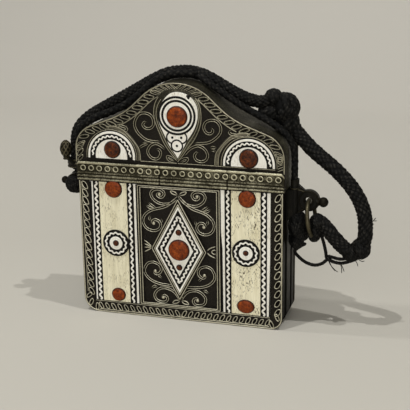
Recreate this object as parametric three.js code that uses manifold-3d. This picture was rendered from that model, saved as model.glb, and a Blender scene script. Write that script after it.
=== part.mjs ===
// Quran case: a flat metal case with a slip-on ogee lid, bone and coral inlay on its front,
// side lugs, a wire ring and a black braided carrying cord. Millimetres, +Z up, front towards -Y.
// Origin: bottom centre of the case, at mid-depth, on the surface that it stands on.
import * as THREE from 'three';
import { mergeVertices } from 'three/addons/utils/BufferGeometryUtils.js';
import Module from 'manifold-3d';

const wasm = await Module();
wasm.setup();

// Driving dimensions of the box.
const BODY_WIDTH = 120;
const BODY_DEPTH = 33;
const MOUTH_HEIGHT = 80.6;
const CORNER_LEFT = 9;
const CORNER_RIGHT = 7;
const PLATE = 1.2;
const WALL = 0.8;
const WALL_RECESS = 0.8;
const SEAM = 0.1;
const FIT = 0.3;

// The inner sleeve that the lid slips over.
const SLEEVE_WALL = 0.8;
const SLEEVE_BELOW_MOUTH = 22;
const SLEEVE_ABOVE_MOUTH = 17.4;
const SLEEVE_CORNER = 1.5;

// Flat mouldings that run round the side wall: front edge and width, from mid-depth.
const MID_MOULDING_FRONT = -6;
const MID_MOULDING_WIDTH = 9;
const BACK_MOULDING_FRONT = 7;
const BACK_MOULDING_WIDTH = 5;

// The lid: its outline is a round cap, a straight flank, a hollow, a falling shoulder line and a round shoulder.
const LID_OVERHANG = 1;
const LID_PROUD = 0.5;
const LID_PLATE = 1.3;
const LID_RIM = 1.6;
const LID_RIM_RECESS = 0.6;
const CAP_RADIUS = 29;
const FLANK_ANGLE = 43.2 * Math.PI / 180;
const FLANK_LENGTH = 6.9;
const HOLLOW_RADIUS = 44.8;
const FALL_ANGLE = 20.8 * Math.PI / 180;
const SHOULDER_RADIUS = 14.6;

// The raised hem band across the foot of the lid's front.
const BAND_HEIGHT = 10.3;
const BAND_THICKNESS = 0.9;
const BAND_CORNER = 2.2;
const BAND_END_INSET = 0.5;
const BAND_BEADS = [
  { height: 0.8, radius: 0.6 },
  { height: 2.4, radius: 0.45 },
  { height: 4.3, radius: 0.45 },
  { height: 9.5, radius: 0.75 },
];

// Front of the body, worked inwards from its edge.
const BORDER_WIDTH = 6.9;
const BORDER_FOOT = 7.9;
const EDGE_STRIP = 1.9;
const ZIGZAG_STRIP = 3.6;
const BONE_STRIP = 16.7;
const INNER_EDGE_STRIP = 2.4;
const STRIP_THICKNESS = 0.8;
const STRIP_TOP_GAP = 0.3;
const PANEL_FRAME = 2.4;
const PANEL_FRAME_END = 1.5;
const PANEL_FRAME_THICKNESS = 1;

// The lozenge in the middle panel.
const LOZENGE_HALF_WIDTH = 13.5;
const LOZENGE_HALF_HEIGHT = 25.2;
const LOZENGE_RISE = -0.9;
const LOZENGE_FRAME = 2.8;
const LOZENGE_CENTRE_SHARE = 0.64;
const LOZENGE_FRAME_THICKNESS = 1.5;
const LOZENGE_THICKNESS = 1.2;
const LOZENGE_CORAL = 6;
const LOZENGE_SMALL_CORAL = 1.6;
const LOZENGE_SMALL_CORAL_OFFSET = 10.5;

// Rosettes and corals on the bone strips.
const ROSETTE_RADIUS = 7.7;
const ROSETTE_THICKNESS = 0.35;
const ROSETTE_CORAL = 1.5;
const UPPER_CORAL = 4.9;
const UPPER_CORAL_DROP = 5.2;
const LOWER_CORAL_LEFT = 4.1;
const LOWER_CORAL_RIGHT_WIDE = 5.1;
const LOWER_CORAL_RIGHT_HIGH = 3.8;
const LOWER_CORAL_RISE = 4.3;
const CORAL_EDGE = 0.5;
const CORAL_DOME_SHARE = 0.22;

// Plaques on the lid's front.
const TEARDROP_RADIUS = 10.9;
const TEARDROP_CENTRE_DROP = 16.2;
const TEARDROP_OFFSET = 0.6;
const TEARDROP_LENGTH = 26.3;
const TEARDROP_FOOT_GAP = 0.8;
const TEARDROP_ARC_END = 18 * Math.PI / 180;
const TEARDROP_TIP_SPREAD = 1.56;
const TEARDROP_FRAME = 3;
const TEARDROP_CORAL = 5.7;
const TEARDROP_CORAL_RISE = -2.8;
const HALFROUND_RADIUS = 14.3;
const HALFROUND_SPACING = 39.9;
const HALFROUND_FOOT_ABOVE_BAND = 3.3;
const HALFROUND_LEG = 1;
const HALFROUND_FRAME = 1.4;
const HALFROUND_CORAL_LEFT = 4.7;
const HALFROUND_CORAL_RIGHT = 5.4;
const HALFROUND_CORAL_RISE = 4.6;
const PLAQUE_THICKNESS = 1;
const PLAQUE_FRAME_THICKNESS = 1.2;
const LID_BORDER_WIDTH = 5.4;

// Right body lug: a wall tube for the strap, a web, an eye plate and a ball end.
const RIGHT_LUG_Y = -2.5;
const STRAP_RADIUS = 1.8;
const STRAP_BORE = 2.15;
const STRAP_TUBE = 2.75;
const STRAP_TUBE_LENGTH = 24.1;
const STRAP_TUBE_ABOVE_MOUTH = 4.8;
const LUG_THICKNESS = 3;
const RIGHT_EYE_REACH = 11.4;
const EYE_PLATE_RADIUS = 6.1;
const EYE_BORE = 2;
const LUG_TOP_GAP = 0.9;
const WEB_INSET = 0.2;
const NECK_FLARE = 1.4;
const RIGHT_BALL_REACH = 19.4;
const RIGHT_BALL_RISE = -0.6;
const RIGHT_BALL_RADIUS = 2.7;
const BALL_NECK_RADIUS = 1.6;

// Left body lug: the same eye plate on a foot, without the tube.
const LEFT_EYE_REACH = 9;
const LEFT_BALL_REACH = 16.2;
const LEFT_BALL_RISE = 1.3;
const LEFT_BALL_RADIUS = 2.1;
const LUG_FOOT_THICKNESS = 1;
const LUG_FOOT_HALF_DEPTH = 3.75;
const LUG_FOOT_MARGIN = 1;

// Left lid lug: an upright eye round the cord, with a ribbed bead on a curved arm.
const LID_EYE_REACH = 8.3;
const LID_EYE_Y = 3;
const LID_EYE_PLAY = 0.6;
const LID_EYE_WALL = 1.5;
const LID_EYE_RISE = 2.1;
const LID_EYE_HEIGHT = 5;
const LID_ARM_HALF_DEPTH = 2;
const BEAD_REACH = 3.5;
const BEAD_FORWARD = 7.2;
const BEAD_RISE = 12;
const BEAD_HALF_SIZE = [3.4, 3.1, 4.8];
const BEAD_NECK_RADIUS = 1.4;

// Wire ring in the right eye.
const RING_RADIUS = 10.3;
const RING_WIRE = 1.2;
const RING_LEAN = 8 * Math.PI / 180;

// Cord: diameters, routes and knots. The routes are the photographed ones.
const CORD_DIAMETER = 6.6;
const LOOP_DIAMETER = 7.6;
const STRING_DIAMETER = 1.8;
const SWING_SPLIT_RADIUS = 23.6;
const SWING_GAP = 0.5;
const LOOP_SPLIT_Z = 103.6;
const STRAP_SPLIT_Z = 87;

const OVER_LID_ROUTE = [
  [-69.3, 3.0, 80.4], [-69.3, 3.0, 84.0], [-69.3, 3.0, 88.0], [-69.2, 3.0, 93.0], [-69.0, 3.0, 98.2],
  [-68.1, 3.0, 103.4], [-65.0, 2.7, 108.7], [-58.6, 2.2, 114.3], [-48.3, 1.8, 120.4], [-37.8, 1.3, 126.2],
  [-27.5, 0.8, 132.0], [-17.7, 0.4, 137.5], [-8.9, 0.1, 141.2], [0.0, 0.0, 142.4], [6.8, 0.0, 141.8],
  [13.4, 0.0, 139.6], [20.2, 0.3, 135.9], [28.2, 0.8, 131.4], [36.2, 1.3, 128.0], [43.6, 1.7, 126.9],
  [51.0, 2.0, 128.8],
];
const STRAP_ROUTE = [
  [8.5, -3.0, 141.2], [13.5, -5.2, 138.6], [20.0, -5.5, 134.3], [27.0, -5.2, 129.7], [34.5, -4.9, 125.0],
  [42.0, -4.6, 121.1], [49.0, -4.2, 117.3], [55.0, -3.8, 113.4], [59.6, -3.3, 108.9], [62.4, -2.8, 103.4],
  [63.1, -2.5, 97.0], [63.1, -2.5, 91.0], [63.1, -2.5, 84.0], [63.1, -2.5, 76.0], [63.1, -2.5, 68.0],
  [63.3, -2.5, 60.0], [64.2, -2.0, 55.0],
];
const LOOP_ROUTE = [
  [57.0, 3.2, 119.5], [60.3, 3.1, 114.0], [64.9, 2.8, 108.3], [69.6, 2.2, 103.6], [74.9, 1.6, 99.1],
  [80.6, 1.0, 94.8], [86.1, 0.6, 90.4], [91.1, 0.2, 85.6], [95.6, -0.2, 80.3], [99.2, -0.6, 74.5],
  [101.6, -1.0, 68.3], [102.7, -1.4, 61.6], [102.8, -1.8, 54.8], [101.2, -2.2, 48.6],
];
const LOOP_RETURN_ROUTE = [
  [98.0, -2.4, 46.0], [93.4, -2.5, 46.2], [89.2, -2.5, 49.4], [85.0, -2.5, 54.0], [80.4, -2.5, 59.2],
  [75.8, -2.5, 63.4],
];
const STRING_ROUTE = [
  [66.5, -3.2, 50.5], [64.8, -3.8, 46.0], [65.0, -4.2, 42.6], [68.6, -4.4, 39.8], [73.6, -4.4, 38.0],
  [78.4, -4.2, 38.2], [82.0, -3.9, 40.6], [85.6, -3.5, 40.0], [89.6, -3.0, 39.2], [94.0, -2.6, 41.6],
];
const STRING_BRANCH_ROUTE = [
  [82.0, -3.9, 40.6], [82.6, -3.6, 44.0], [82.4, -3.2, 47.4], [82.0, -3.0, 50.0],
];
const TOP_KNOT_LOBES = [
  { centre: [50.0, 2.0, 130.0], size: [4.4, 4.6, 4.3] },
  { centre: [57.4, 2.0, 124.8], size: [7.2, 6.4, 7.6] },
  { centre: [58.4, 2.4, 116.4], size: [5.6, 5.4, 6.0] },
];
const BEND_KNOT_LOBES = [
  { centre: [100.6, -2.2, 47.6], size: [5.4, 5.0, 5.6] },
  { centre: [95.6, -2.4, 44.6], size: [4.9, 4.8, 4.4] },
];
const STRAP_KNOT_LOBES = [
  { centre: [65.4, -1.6, 55.2], size: [4.4, 5.0, 5.6] },
  { centre: [66.8, -3.4, 50.6], size: [2.9, 3.6, 3.4] },
];
const HITCH_LOBES = [
  { centre: [75.6, -2.5, 62.6], size: [3.6, 4.6, 4.6] },
  { centre: [75.4, -2.5, 55.4], size: [3.6, 4.8, 5.4] },
];
const LEFT_KNOT_LOBES = [
  { centre: [-69.2, -4.4, 73.8], size: [4.6, 3.4, 4.8] },
  { centre: [-69.2, 5.0, 73.6], size: [4.4, 3.6, 4.6] },
  { centre: [-69.4, 4.0, 77.5], size: [3.6, 3.2, 2.5] },
];

// Values that follow from the driving dimensions.
const BODY_HALF = BODY_WIDTH / 2;
const DEPTH_HALF = BODY_DEPTH / 2;
const PLATE_BACK = DEPTH_HALF - PLATE;
const WALL_HALF_DEPTH = PLATE_BACK - SEAM;
const WALL_INNER_HALF = BODY_HALF - WALL_RECESS - WALL;
const SLEEVE_HALF_WIDTH = WALL_INNER_HALF - SEAM;
const SLEEVE_HALF_DEPTH = WALL_HALF_DEPTH;
const LID_HALF = BODY_HALF + LID_OVERHANG;
const LID_FRONT = DEPTH_HALF + LID_PROUD;
const LID_PLATE_BACK = LID_FRONT - LID_PLATE;
const LID_FOOT = MOUTH_HEIGHT + FIT;
const BAND_TOP = LID_FOOT + BAND_HEIGHT;
const STRIP_TOP = MOUTH_HEIGHT - STRIP_TOP_GAP;
const STRIP_MIDDLE = (BORDER_FOOT + STRIP_TOP) / 2;
const LID_WALL_FACE = LID_HALF - LID_RIM_RECESS;
const BODY_WALL_FACE = BODY_HALF;
const LID_TOP = BAND_TOP + TEARDROP_FOOT_GAP + TEARDROP_FRAME * TEARDROP_TIP_SPREAD
  + TEARDROP_LENGTH + TEARDROP_CENTRE_DROP;
const EYE_HEIGHT = MOUTH_HEIGHT - LUG_TOP_GAP - EYE_PLATE_RADIUS;
const RIGHT_EYE_X = BODY_HALF + RIGHT_EYE_REACH;
const STRAP_TUBE_TOP = MOUTH_HEIGHT + STRAP_TUBE_ABOVE_MOUTH;
const STRAP_TUBE_BOTTOM = STRAP_TUBE_TOP - STRAP_TUBE_LENGTH;
const FAR = 4 * BODY_WIDTH;
const STRAP_TUBE_X = LID_HALF + FIT + STRAP_RADIUS;
const LID_EYE_X = -LID_HALF - LID_EYE_REACH;
const LID_EYE_BORE = CORD_DIAMETER / 2 + LID_EYE_PLAY;
const LID_EYE_BOTTOM = LID_FOOT + LID_EYE_RISE;
const BEAD_CENTRE = [LID_EYE_X - BEAD_REACH, LID_EYE_Y - BEAD_FORWARD, LID_EYE_BOTTOM + BEAD_RISE];

const MATERIALS = {
  silver: new THREE.MeshStandardMaterial({ color: 0x8a8474, roughness: 0.42, metalness: 0.9 }),
  darkSilver: new THREE.MeshStandardMaterial({ color: 0x3b3830, roughness: 0.5, metalness: 0.8 }),
  ground: new THREE.MeshStandardMaterial({ color: 0x2a251e, roughness: 0.6, metalness: 0.6 }),
  bone: new THREE.MeshStandardMaterial({ color: 0xd9d0ae, roughness: 0.5, metalness: 0 }),
  whiteBone: new THREE.MeshStandardMaterial({ color: 0xebe6d7, roughness: 0.5, metalness: 0 }),
  inlay: new THREE.MeshStandardMaterial({ color: 0x6b675f, roughness: 0.5, metalness: 0 }),
  coral: new THREE.MeshStandardMaterial({ color: 0x8c4a2b, roughness: 0.45, metalness: 0 }),
  darkCoral: new THREE.MeshStandardMaterial({ color: 0x5c3322, roughness: 0.5, metalness: 0 }),
  cord: new THREE.MeshStandardMaterial({ color: 0x171614, roughness: 0.9, metalness: 0 }),
};

// Shape plane (x, y) with depth z to object axes: upright plates face -Y, bars run along +X.
const UPRIGHT = new THREE.Matrix4().set(1, 0, 0, 0, 0, 0, -1, 0, 0, 1, 0, 0, 0, 0, 0, 1);
const ALONG_X = new THREE.Matrix4().set(0, 0, 1, 0, 1, 0, 0, 0, 0, 1, 0, 0, 0, 0, 0, 1);

const part = new THREE.Group();

function solidFrom(geometry) {
  const bare = new THREE.BufferGeometry();
  bare.setAttribute('position', geometry.getAttribute('position').clone());
  if (geometry.index) {
    bare.setIndex(geometry.index.clone());
  }
  const welded = mergeVertices(bare, 1e-4);
  const triangles = [];
  const index = welded.index.array;
  for (let i = 0; i < index.length; i += 3) {
    const [a, b, c] = [index[i], index[i + 1], index[i + 2]];
    if (a !== b && b !== c && c !== a) {
      triangles.push(a, b, c);
    }
  }
  return new wasm.Manifold(new wasm.Mesh({
    numProp: 3,
    vertProperties: Float32Array.from(welded.getAttribute('position').array),
    triVerts: Uint32Array.from(triangles),
  }));
}

function geometryFrom(solid) {
  const mesh = solid.getMesh();
  const geometry = new THREE.BufferGeometry();
  geometry.setAttribute('position', new THREE.BufferAttribute(Float32Array.from(mesh.vertProperties), 3));
  geometry.setIndex(Array.from(mesh.triVerts));
  geometry.computeVertexNormals();
  return geometry;
}

function place(name, solid, material) {
  const mesh = new THREE.Mesh(geometryFrom(solid), material);
  mesh.name = name;
  part.add(mesh);
}

function uniteAll(solids) {
  return solids.reduce((sum, solid) => sum.add(solid));
}

// The largest piece of a cut solid, without the slivers that a cut leaves.
function mainPiece(solid) {
  return solid.decompose().reduce((best, piece) => (piece.volume() > best.volume() ? piece : best));
}

// An upright plate: a shape in X and Z, between two Y values.
function plate(shape, front, back, curveSegments = 6) {
  const geometry = new THREE.ExtrudeGeometry(shape, {
    depth: back - front, bevelEnabled: false, steps: 1, curveSegments,
  });
  geometry.applyMatrix4(UPRIGHT);
  geometry.translate(0, back, 0);
  return solidFrom(geometry);
}

function polygon(points) {
  return new THREE.Shape(points.map(([x, y]) => new THREE.Vector2(x, y)));
}

function rectangle(left, bottom, right, top) {
  return polygon([[left, bottom], [right, bottom], [right, top], [left, top]]);
}

function roundedRectangle(left, bottom, right, top, radius) {
  const shape = new THREE.Shape();
  shape.moveTo(left + radius, bottom);
  shape.lineTo(right - radius, bottom);
  shape.absarc(right - radius, bottom + radius, radius, -Math.PI / 2, 0, false);
  shape.absarc(right - radius, top - radius, radius, 0, Math.PI / 2, false);
  shape.absarc(left + radius, top - radius, radius, Math.PI / 2, Math.PI, false);
  shape.absarc(left + radius, bottom + radius, radius, Math.PI, 1.5 * Math.PI, false);
  return shape;
}

function disc(x, z, radius, front, back, sides = 24) {
  const geometry = new THREE.CylinderGeometry(radius, radius, back - front, sides);
  geometry.translate(x, (front + back) / 2, z);
  return solidFrom(geometry);
}

function upright(x, y, radius, bottom, top, sides = 24) {
  const geometry = new THREE.CylinderGeometry(radius, radius, top - bottom, sides);
  geometry.rotateX(Math.PI / 2);
  geometry.translate(x, y, (bottom + top) / 2);
  return solidFrom(geometry);
}

function box(low, high) {
  const size = high.map((value, axis) => value - low[axis]);
  const geometry = new THREE.BoxGeometry(...size);
  geometry.translate(...high.map((value, axis) => (value + low[axis]) / 2));
  return solidFrom(geometry);
}

function ellipsoid(centre, size, widthSides = 14, heightSides = 8) {
  const geometry = new THREE.SphereGeometry(1, widthSides, heightSides);
  geometry.scale(...size);
  geometry.translate(...centre);
  return solidFrom(geometry);
}

function lobes(list, grow) {
  return uniteAll(list.map(({ centre, size }) => ellipsoid(centre, size.map((value) => value + grow))));
}

// A taper between two points.
function taper(from, to, fromRadius, toRadius, sides = 12) {
  const start = new THREE.Vector3(...from);
  const end = new THREE.Vector3(...to);
  const axis = end.clone().sub(start);
  const geometry = new THREE.CylinderGeometry(toRadius, fromRadius, axis.length(), sides);
  geometry.applyQuaternion(new THREE.Quaternion().setFromUnitVectors(new THREE.Vector3(0, 1, 0), axis.normalize()));
  geometry.translate(...start.add(end).multiplyScalar(0.5).toArray());
  return solidFrom(geometry);
}

// A round cord along a route of points.
function cordAlong(route, radius, steps, sides) {
  const section = new THREE.Shape();
  for (let i = 0; i < sides; i += 1) {
    const angle = 2 * Math.PI * i / sides;
    const method = i === 0 ? 'moveTo' : 'lineTo';
    section[method](radius * Math.cos(angle), radius * Math.sin(angle));
  }
  const path = new THREE.CatmullRomCurve3(route.map((point) => new THREE.Vector3(...point)));
  return solidFrom(new THREE.ExtrudeGeometry(section, { steps, bevelEnabled: false, extrudePath: path }));
}

// A low dome that stands on a plate and swells towards the viewer.
function dome(x, z, wide, high, back) {
  const rise = Math.min(wide, high) * CORAL_DOME_SHARE;
  const profile = [new THREE.Vector2(0, 0), new THREE.Vector2(1, 0), new THREE.Vector2(1, CORAL_EDGE)];
  const rings = 4;
  for (let i = 1; i <= rings; i += 1) {
    const angle = (Math.PI / 2) * i / rings;
    profile.push(new THREE.Vector2(i === rings ? 0 : Math.cos(angle), CORAL_EDGE + rise * Math.sin(angle)));
  }
  const geometry = new THREE.LatheGeometry(profile, 20);
  geometry.scale(wide, 1, high);
  geometry.rotateX(Math.PI);
  geometry.translate(x, back, z);
  return solidFrom(geometry);
}

// Body outline: a box with two rounded lower corners, set in from its edge.
function bodyShape(inset, top) {
  const shape = new THREE.Shape();
  const half = BODY_HALF - inset;
  const left = CORNER_LEFT - inset;
  const right = CORNER_RIGHT - inset;
  shape.moveTo(-half, top);
  shape.lineTo(-half, CORNER_LEFT);
  shape.absarc(-BODY_HALF + CORNER_LEFT, CORNER_LEFT, left, Math.PI, 1.5 * Math.PI, false);
  shape.absarc(BODY_HALF - CORNER_RIGHT, CORNER_RIGHT, right, -Math.PI / 2, 0, false);
  shape.lineTo(half, top);
  return shape;
}

// Centres of the arcs that make the lid's outline; every inset outline shares them.
function lidCentres() {
  const cap = new THREE.Vector2(0, LID_TOP - CAP_RADIUS);
  const flankNormal = new THREE.Vector2(Math.sin(FLANK_ANGLE), Math.cos(FLANK_ANGLE));
  const flankRun = new THREE.Vector2(Math.cos(FLANK_ANGLE), -Math.sin(FLANK_ANGLE));
  const hollow = cap.clone()
    .addScaledVector(flankNormal, CAP_RADIUS + HOLLOW_RADIUS)
    .addScaledVector(flankRun, FLANK_LENGTH);
  const fallNormal = new THREE.Vector2(Math.sin(FALL_ANGLE), Math.cos(FALL_ANGLE));
  const fallStart = hollow.clone().addScaledVector(fallNormal, -HOLLOW_RADIUS);
  const shoulderX = LID_HALF - SHOULDER_RADIUS;
  const run = (shoulderX + SHOULDER_RADIUS * fallNormal.x - fallStart.x) / Math.cos(FALL_ANGLE);
  const shoulderZ = fallStart.y - run * Math.sin(FALL_ANGLE) - SHOULDER_RADIUS * fallNormal.y;
  return { cap, hollow, shoulder: new THREE.Vector2(shoulderX, shoulderZ) };
}

const LID_CENTRES = lidCentres();

// Lid outline, set in from its edge, closed along the foot.
function lidShape(inset, foot) {
  const { cap, hollow, shoulder } = LID_CENTRES;
  const half = LID_HALF - inset;
  const quarter = Math.PI / 2;
  const shape = new THREE.Shape();
  shape.moveTo(-half, foot);
  shape.lineTo(half, foot);
  shape.absarc(shoulder.x, shoulder.y, SHOULDER_RADIUS - inset, 0, quarter - FALL_ANGLE, false);
  shape.absarc(hollow.x, hollow.y, HOLLOW_RADIUS + inset, 3 * quarter - FALL_ANGLE, 3 * quarter - FLANK_ANGLE, true);
  shape.absarc(cap.x, cap.y, CAP_RADIUS - inset, quarter - FLANK_ANGLE, quarter + FLANK_ANGLE, false);
  shape.absarc(-hollow.x, hollow.y, HOLLOW_RADIUS + inset, FLANK_ANGLE - quarter, FALL_ANGLE - quarter, true);
  shape.absarc(-shoulder.x, shoulder.y, SHOULDER_RADIUS - inset, quarter + FALL_ANGLE, 2 * quarter, false);
  return shape;
}

// Teardrop outline, grown outwards from the bone plaque.
function teardropShape(grow) {
  const centreZ = LID_TOP - TEARDROP_CENTRE_DROP;
  const radius = TEARDROP_RADIUS + grow;
  const tip = centreZ - TEARDROP_LENGTH - grow * TEARDROP_TIP_SPREAD;
  const bellyX = radius * 0.86;
  const bellyZ = centreZ - radius * 1.25;
  const shape = new THREE.Shape();
  shape.moveTo(0, tip);
  shape.quadraticCurveTo(
    TEARDROP_OFFSET + bellyX, bellyZ,
    TEARDROP_OFFSET + radius * Math.cos(TEARDROP_ARC_END), centreZ - radius * Math.sin(TEARDROP_ARC_END),
  );
  shape.absarc(TEARDROP_OFFSET, centreZ, radius, -TEARDROP_ARC_END, Math.PI + TEARDROP_ARC_END, false);
  shape.quadraticCurveTo(TEARDROP_OFFSET - bellyX, bellyZ, 0, tip);
  return shape;
}

// Half-round plaque outline on short legs, grown outwards and sideways but not at its foot.
function halfRoundShape(side, grow) {
  const foot = BAND_TOP + HALFROUND_FOOT_ABOVE_BAND;
  const centreX = side * HALFROUND_SPACING;
  const radius = HALFROUND_RADIUS + grow;
  const shape = new THREE.Shape();
  shape.moveTo(centreX - radius, foot);
  shape.lineTo(centreX + radius, foot);
  shape.absarc(centreX, foot + HALFROUND_LEG, radius, 0, Math.PI, false);
  return shape;
}

function lozengeShape(share, centreZ, grow = 0) {
  const scale = share + grow / (LOZENGE_HALF_WIDTH * Math.cos(Math.atan(LOZENGE_HALF_WIDTH / LOZENGE_HALF_HEIGHT)));
  const wide = LOZENGE_HALF_WIDTH * scale;
  const high = LOZENGE_HALF_HEIGHT * scale;
  return polygon([[-wide, centreZ], [0, centreZ - high], [wide, centreZ], [0, centreZ + high]]);
}

function addBodyShell() {
  const tall = MOUTH_HEIGHT;
  const opened = tall + WALL;
  const wall = plate(bodyShape(WALL_RECESS, tall), -WALL_HALF_DEPTH, WALL_HALF_DEPTH)
    .subtract(plate(bodyShape(WALL_RECESS + WALL, opened), -DEPTH_HALF, DEPTH_HALF));
  place('body_side_wall', wall, MATERIALS.darkSilver);
  place('body_front_plate', plate(bodyShape(0, tall), -DEPTH_HALF, -PLATE_BACK), MATERIALS.silver);
  place('body_back_plate', plate(bodyShape(0, tall), PLATE_BACK, DEPTH_HALF), MATERIALS.darkSilver);

  const mouldings = [
    ['side_moulding_mid', MID_MOULDING_FRONT, MID_MOULDING_WIDTH],
    ['side_moulding_back', BACK_MOULDING_FRONT, BACK_MOULDING_WIDTH],
  ];
  for (const [name, front, width] of mouldings) {
    const strip = plate(bodyShape(0, tall), front, front + width)
      .subtract(plate(bodyShape(WALL_RECESS - SEAM, opened), front - WALL, front + width + WALL));
    place(name, strip, MATERIALS.darkSilver);
  }
}

function addSleeve() {
  const bottom = MOUTH_HEIGHT - SLEEVE_BELOW_MOUTH;
  const height = SLEEVE_BELOW_MOUTH + SLEEVE_ABOVE_MOUTH;
  const outer = new THREE.ExtrudeGeometry(
    roundedRectangle(-SLEEVE_HALF_WIDTH, -SLEEVE_HALF_DEPTH, SLEEVE_HALF_WIDTH, SLEEVE_HALF_DEPTH, SLEEVE_CORNER),
    { depth: height, bevelEnabled: false, curveSegments: 2 },
  );
  outer.translate(0, 0, bottom);
  const innerWidth = SLEEVE_HALF_WIDTH - SLEEVE_WALL;
  const innerDepth = SLEEVE_HALF_DEPTH - SLEEVE_WALL;
  const hollow = box([-innerWidth, -innerDepth, bottom - 1], [innerWidth, innerDepth, bottom + height + 1]);
  place('inner_sleeve', solidFrom(outer).subtract(hollow), MATERIALS.silver);
}

function addPanel() {
  const face = -DEPTH_HALF - SEAM;
  const inner = BODY_HALF - BORDER_WIDTH - EDGE_STRIP - 2 * ZIGZAG_STRIP - BONE_STRIP - INNER_EDGE_STRIP - 5 * SEAM;
  const frameFront = face - PANEL_FRAME_THICKNESS;
  const opening = inner - PANEL_FRAME;
  const frame = plate(rectangle(-inner, BORDER_FOOT, inner, STRIP_TOP), frameFront, face)
    .subtract(plate(
      rectangle(-opening, BORDER_FOOT + PANEL_FRAME_END, opening, STRIP_TOP - PANEL_FRAME_END),
      frameFront - 1, face + 1,
    ));
  place('panel_frame', frame, MATERIALS.silver);

  const centreZ = STRIP_MIDDLE + LOZENGE_RISE;
  const setting = plate(lozengeShape(1, centreZ, LOZENGE_FRAME), face - LOZENGE_FRAME_THICKNESS, face)
    .subtract(plate(lozengeShape(1, centreZ, SEAM), face - LOZENGE_FRAME_THICKNESS - 1, face + 1));
  place('lozenge_frame', setting, MATERIALS.silver);
  const border = plate(lozengeShape(1, centreZ), face - LOZENGE_THICKNESS, face)
    .subtract(plate(lozengeShape(LOZENGE_CENTRE_SHARE, centreZ, SEAM), face - LOZENGE_THICKNESS - 1, face + 1));
  place('lozenge_border', border, MATERIALS.inlay);
  const centre = plate(lozengeShape(LOZENGE_CENTRE_SHARE, centreZ), face - LOZENGE_THICKNESS, face);
  place('lozenge_bone', centre, MATERIALS.bone);

  const seat = face - LOZENGE_THICKNESS - SEAM;
  place('lozenge_coral_centre', dome(0, centreZ, LOZENGE_CORAL, LOZENGE_CORAL, seat), MATERIALS.coral);
  const small = LOZENGE_SMALL_CORAL;
  place('lozenge_coral_upper', dome(0, centreZ + LOZENGE_SMALL_CORAL_OFFSET, small, small, seat), MATERIALS.coral);
  place('lozenge_coral_lower', dome(0, centreZ - LOZENGE_SMALL_CORAL_OFFSET, small, small, seat), MATERIALS.coral);
}

function addStrips(side, sideName) {
  const face = -DEPTH_HALF - SEAM;
  const front = face - STRIP_THICKNESS;
  const courses = [
    ['edge_outer', EDGE_STRIP, MATERIALS.whiteBone],
    ['zigzag_outer', ZIGZAG_STRIP, MATERIALS.inlay],
    ['bone', BONE_STRIP, MATERIALS.bone],
    ['zigzag_inner', ZIGZAG_STRIP, MATERIALS.inlay],
    ['edge_inner', INNER_EDGE_STRIP, MATERIALS.whiteBone],
  ];
  let outer = BODY_HALF - BORDER_WIDTH;
  let boneCentre = 0;
  for (const [name, width, material] of courses) {
    const edges = [side * outer, side * (outer - width)].sort((a, b) => a - b);
    const strip = plate(rectangle(edges[0], BORDER_FOOT, edges[1], STRIP_TOP), front, face);
    place(`strip_${sideName}_${name}`, strip, material);
    if (name === 'bone') {
      boneCentre = side * (outer - width / 2);
    }
    outer -= width + SEAM;
  }

  const seat = front - SEAM;
  const rosette = disc(boneCentre, STRIP_MIDDLE, ROSETTE_RADIUS, seat - ROSETTE_THICKNESS, seat, 28);
  place(`rosette_${sideName}`, rosette, MATERIALS.inlay);
  const dotSeat = seat - ROSETTE_THICKNESS - SEAM;
  const dot = dome(boneCentre, STRIP_MIDDLE, ROSETTE_CORAL, ROSETTE_CORAL, dotSeat);
  place(`rosette_coral_${sideName}`, dot, MATERIALS.coral);
  const upperZ = STRIP_TOP - UPPER_CORAL_DROP;
  place(`coral_upper_${sideName}`, dome(boneCentre, upperZ, UPPER_CORAL, UPPER_CORAL, seat), MATERIALS.coral);
  const lowerWide = side < 0 ? LOWER_CORAL_LEFT : LOWER_CORAL_RIGHT_WIDE;
  const lowerHigh = side < 0 ? LOWER_CORAL_LEFT : LOWER_CORAL_RIGHT_HIGH;
  const lowerZ = BORDER_FOOT + LOWER_CORAL_RISE;
  place(`coral_lower_${sideName}`, dome(boneCentre, lowerZ, lowerWide, lowerHigh, seat), MATERIALS.coral);
}

// The eye plate with its ball end, before the eye is cut.
function eyePlate(side, y, eyeX, eyeZ, ballX, ballZ, ballRadius) {
  const front = y - LUG_THICKNESS / 2;
  const back = y + LUG_THICKNESS / 2;
  const neckStart = [eyeX + side * EYE_PLATE_RADIUS * 0.7, y, eyeZ];
  return uniteAll([
    disc(eyeX, eyeZ, EYE_PLATE_RADIUS, front, back),
    taper(neckStart, [ballX, y, ballZ], BALL_NECK_RADIUS * NECK_FLARE, BALL_NECK_RADIUS),
    ellipsoid([ballX, y, ballZ], [ballRadius, ballRadius, ballRadius]),
  ]);
}

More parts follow.
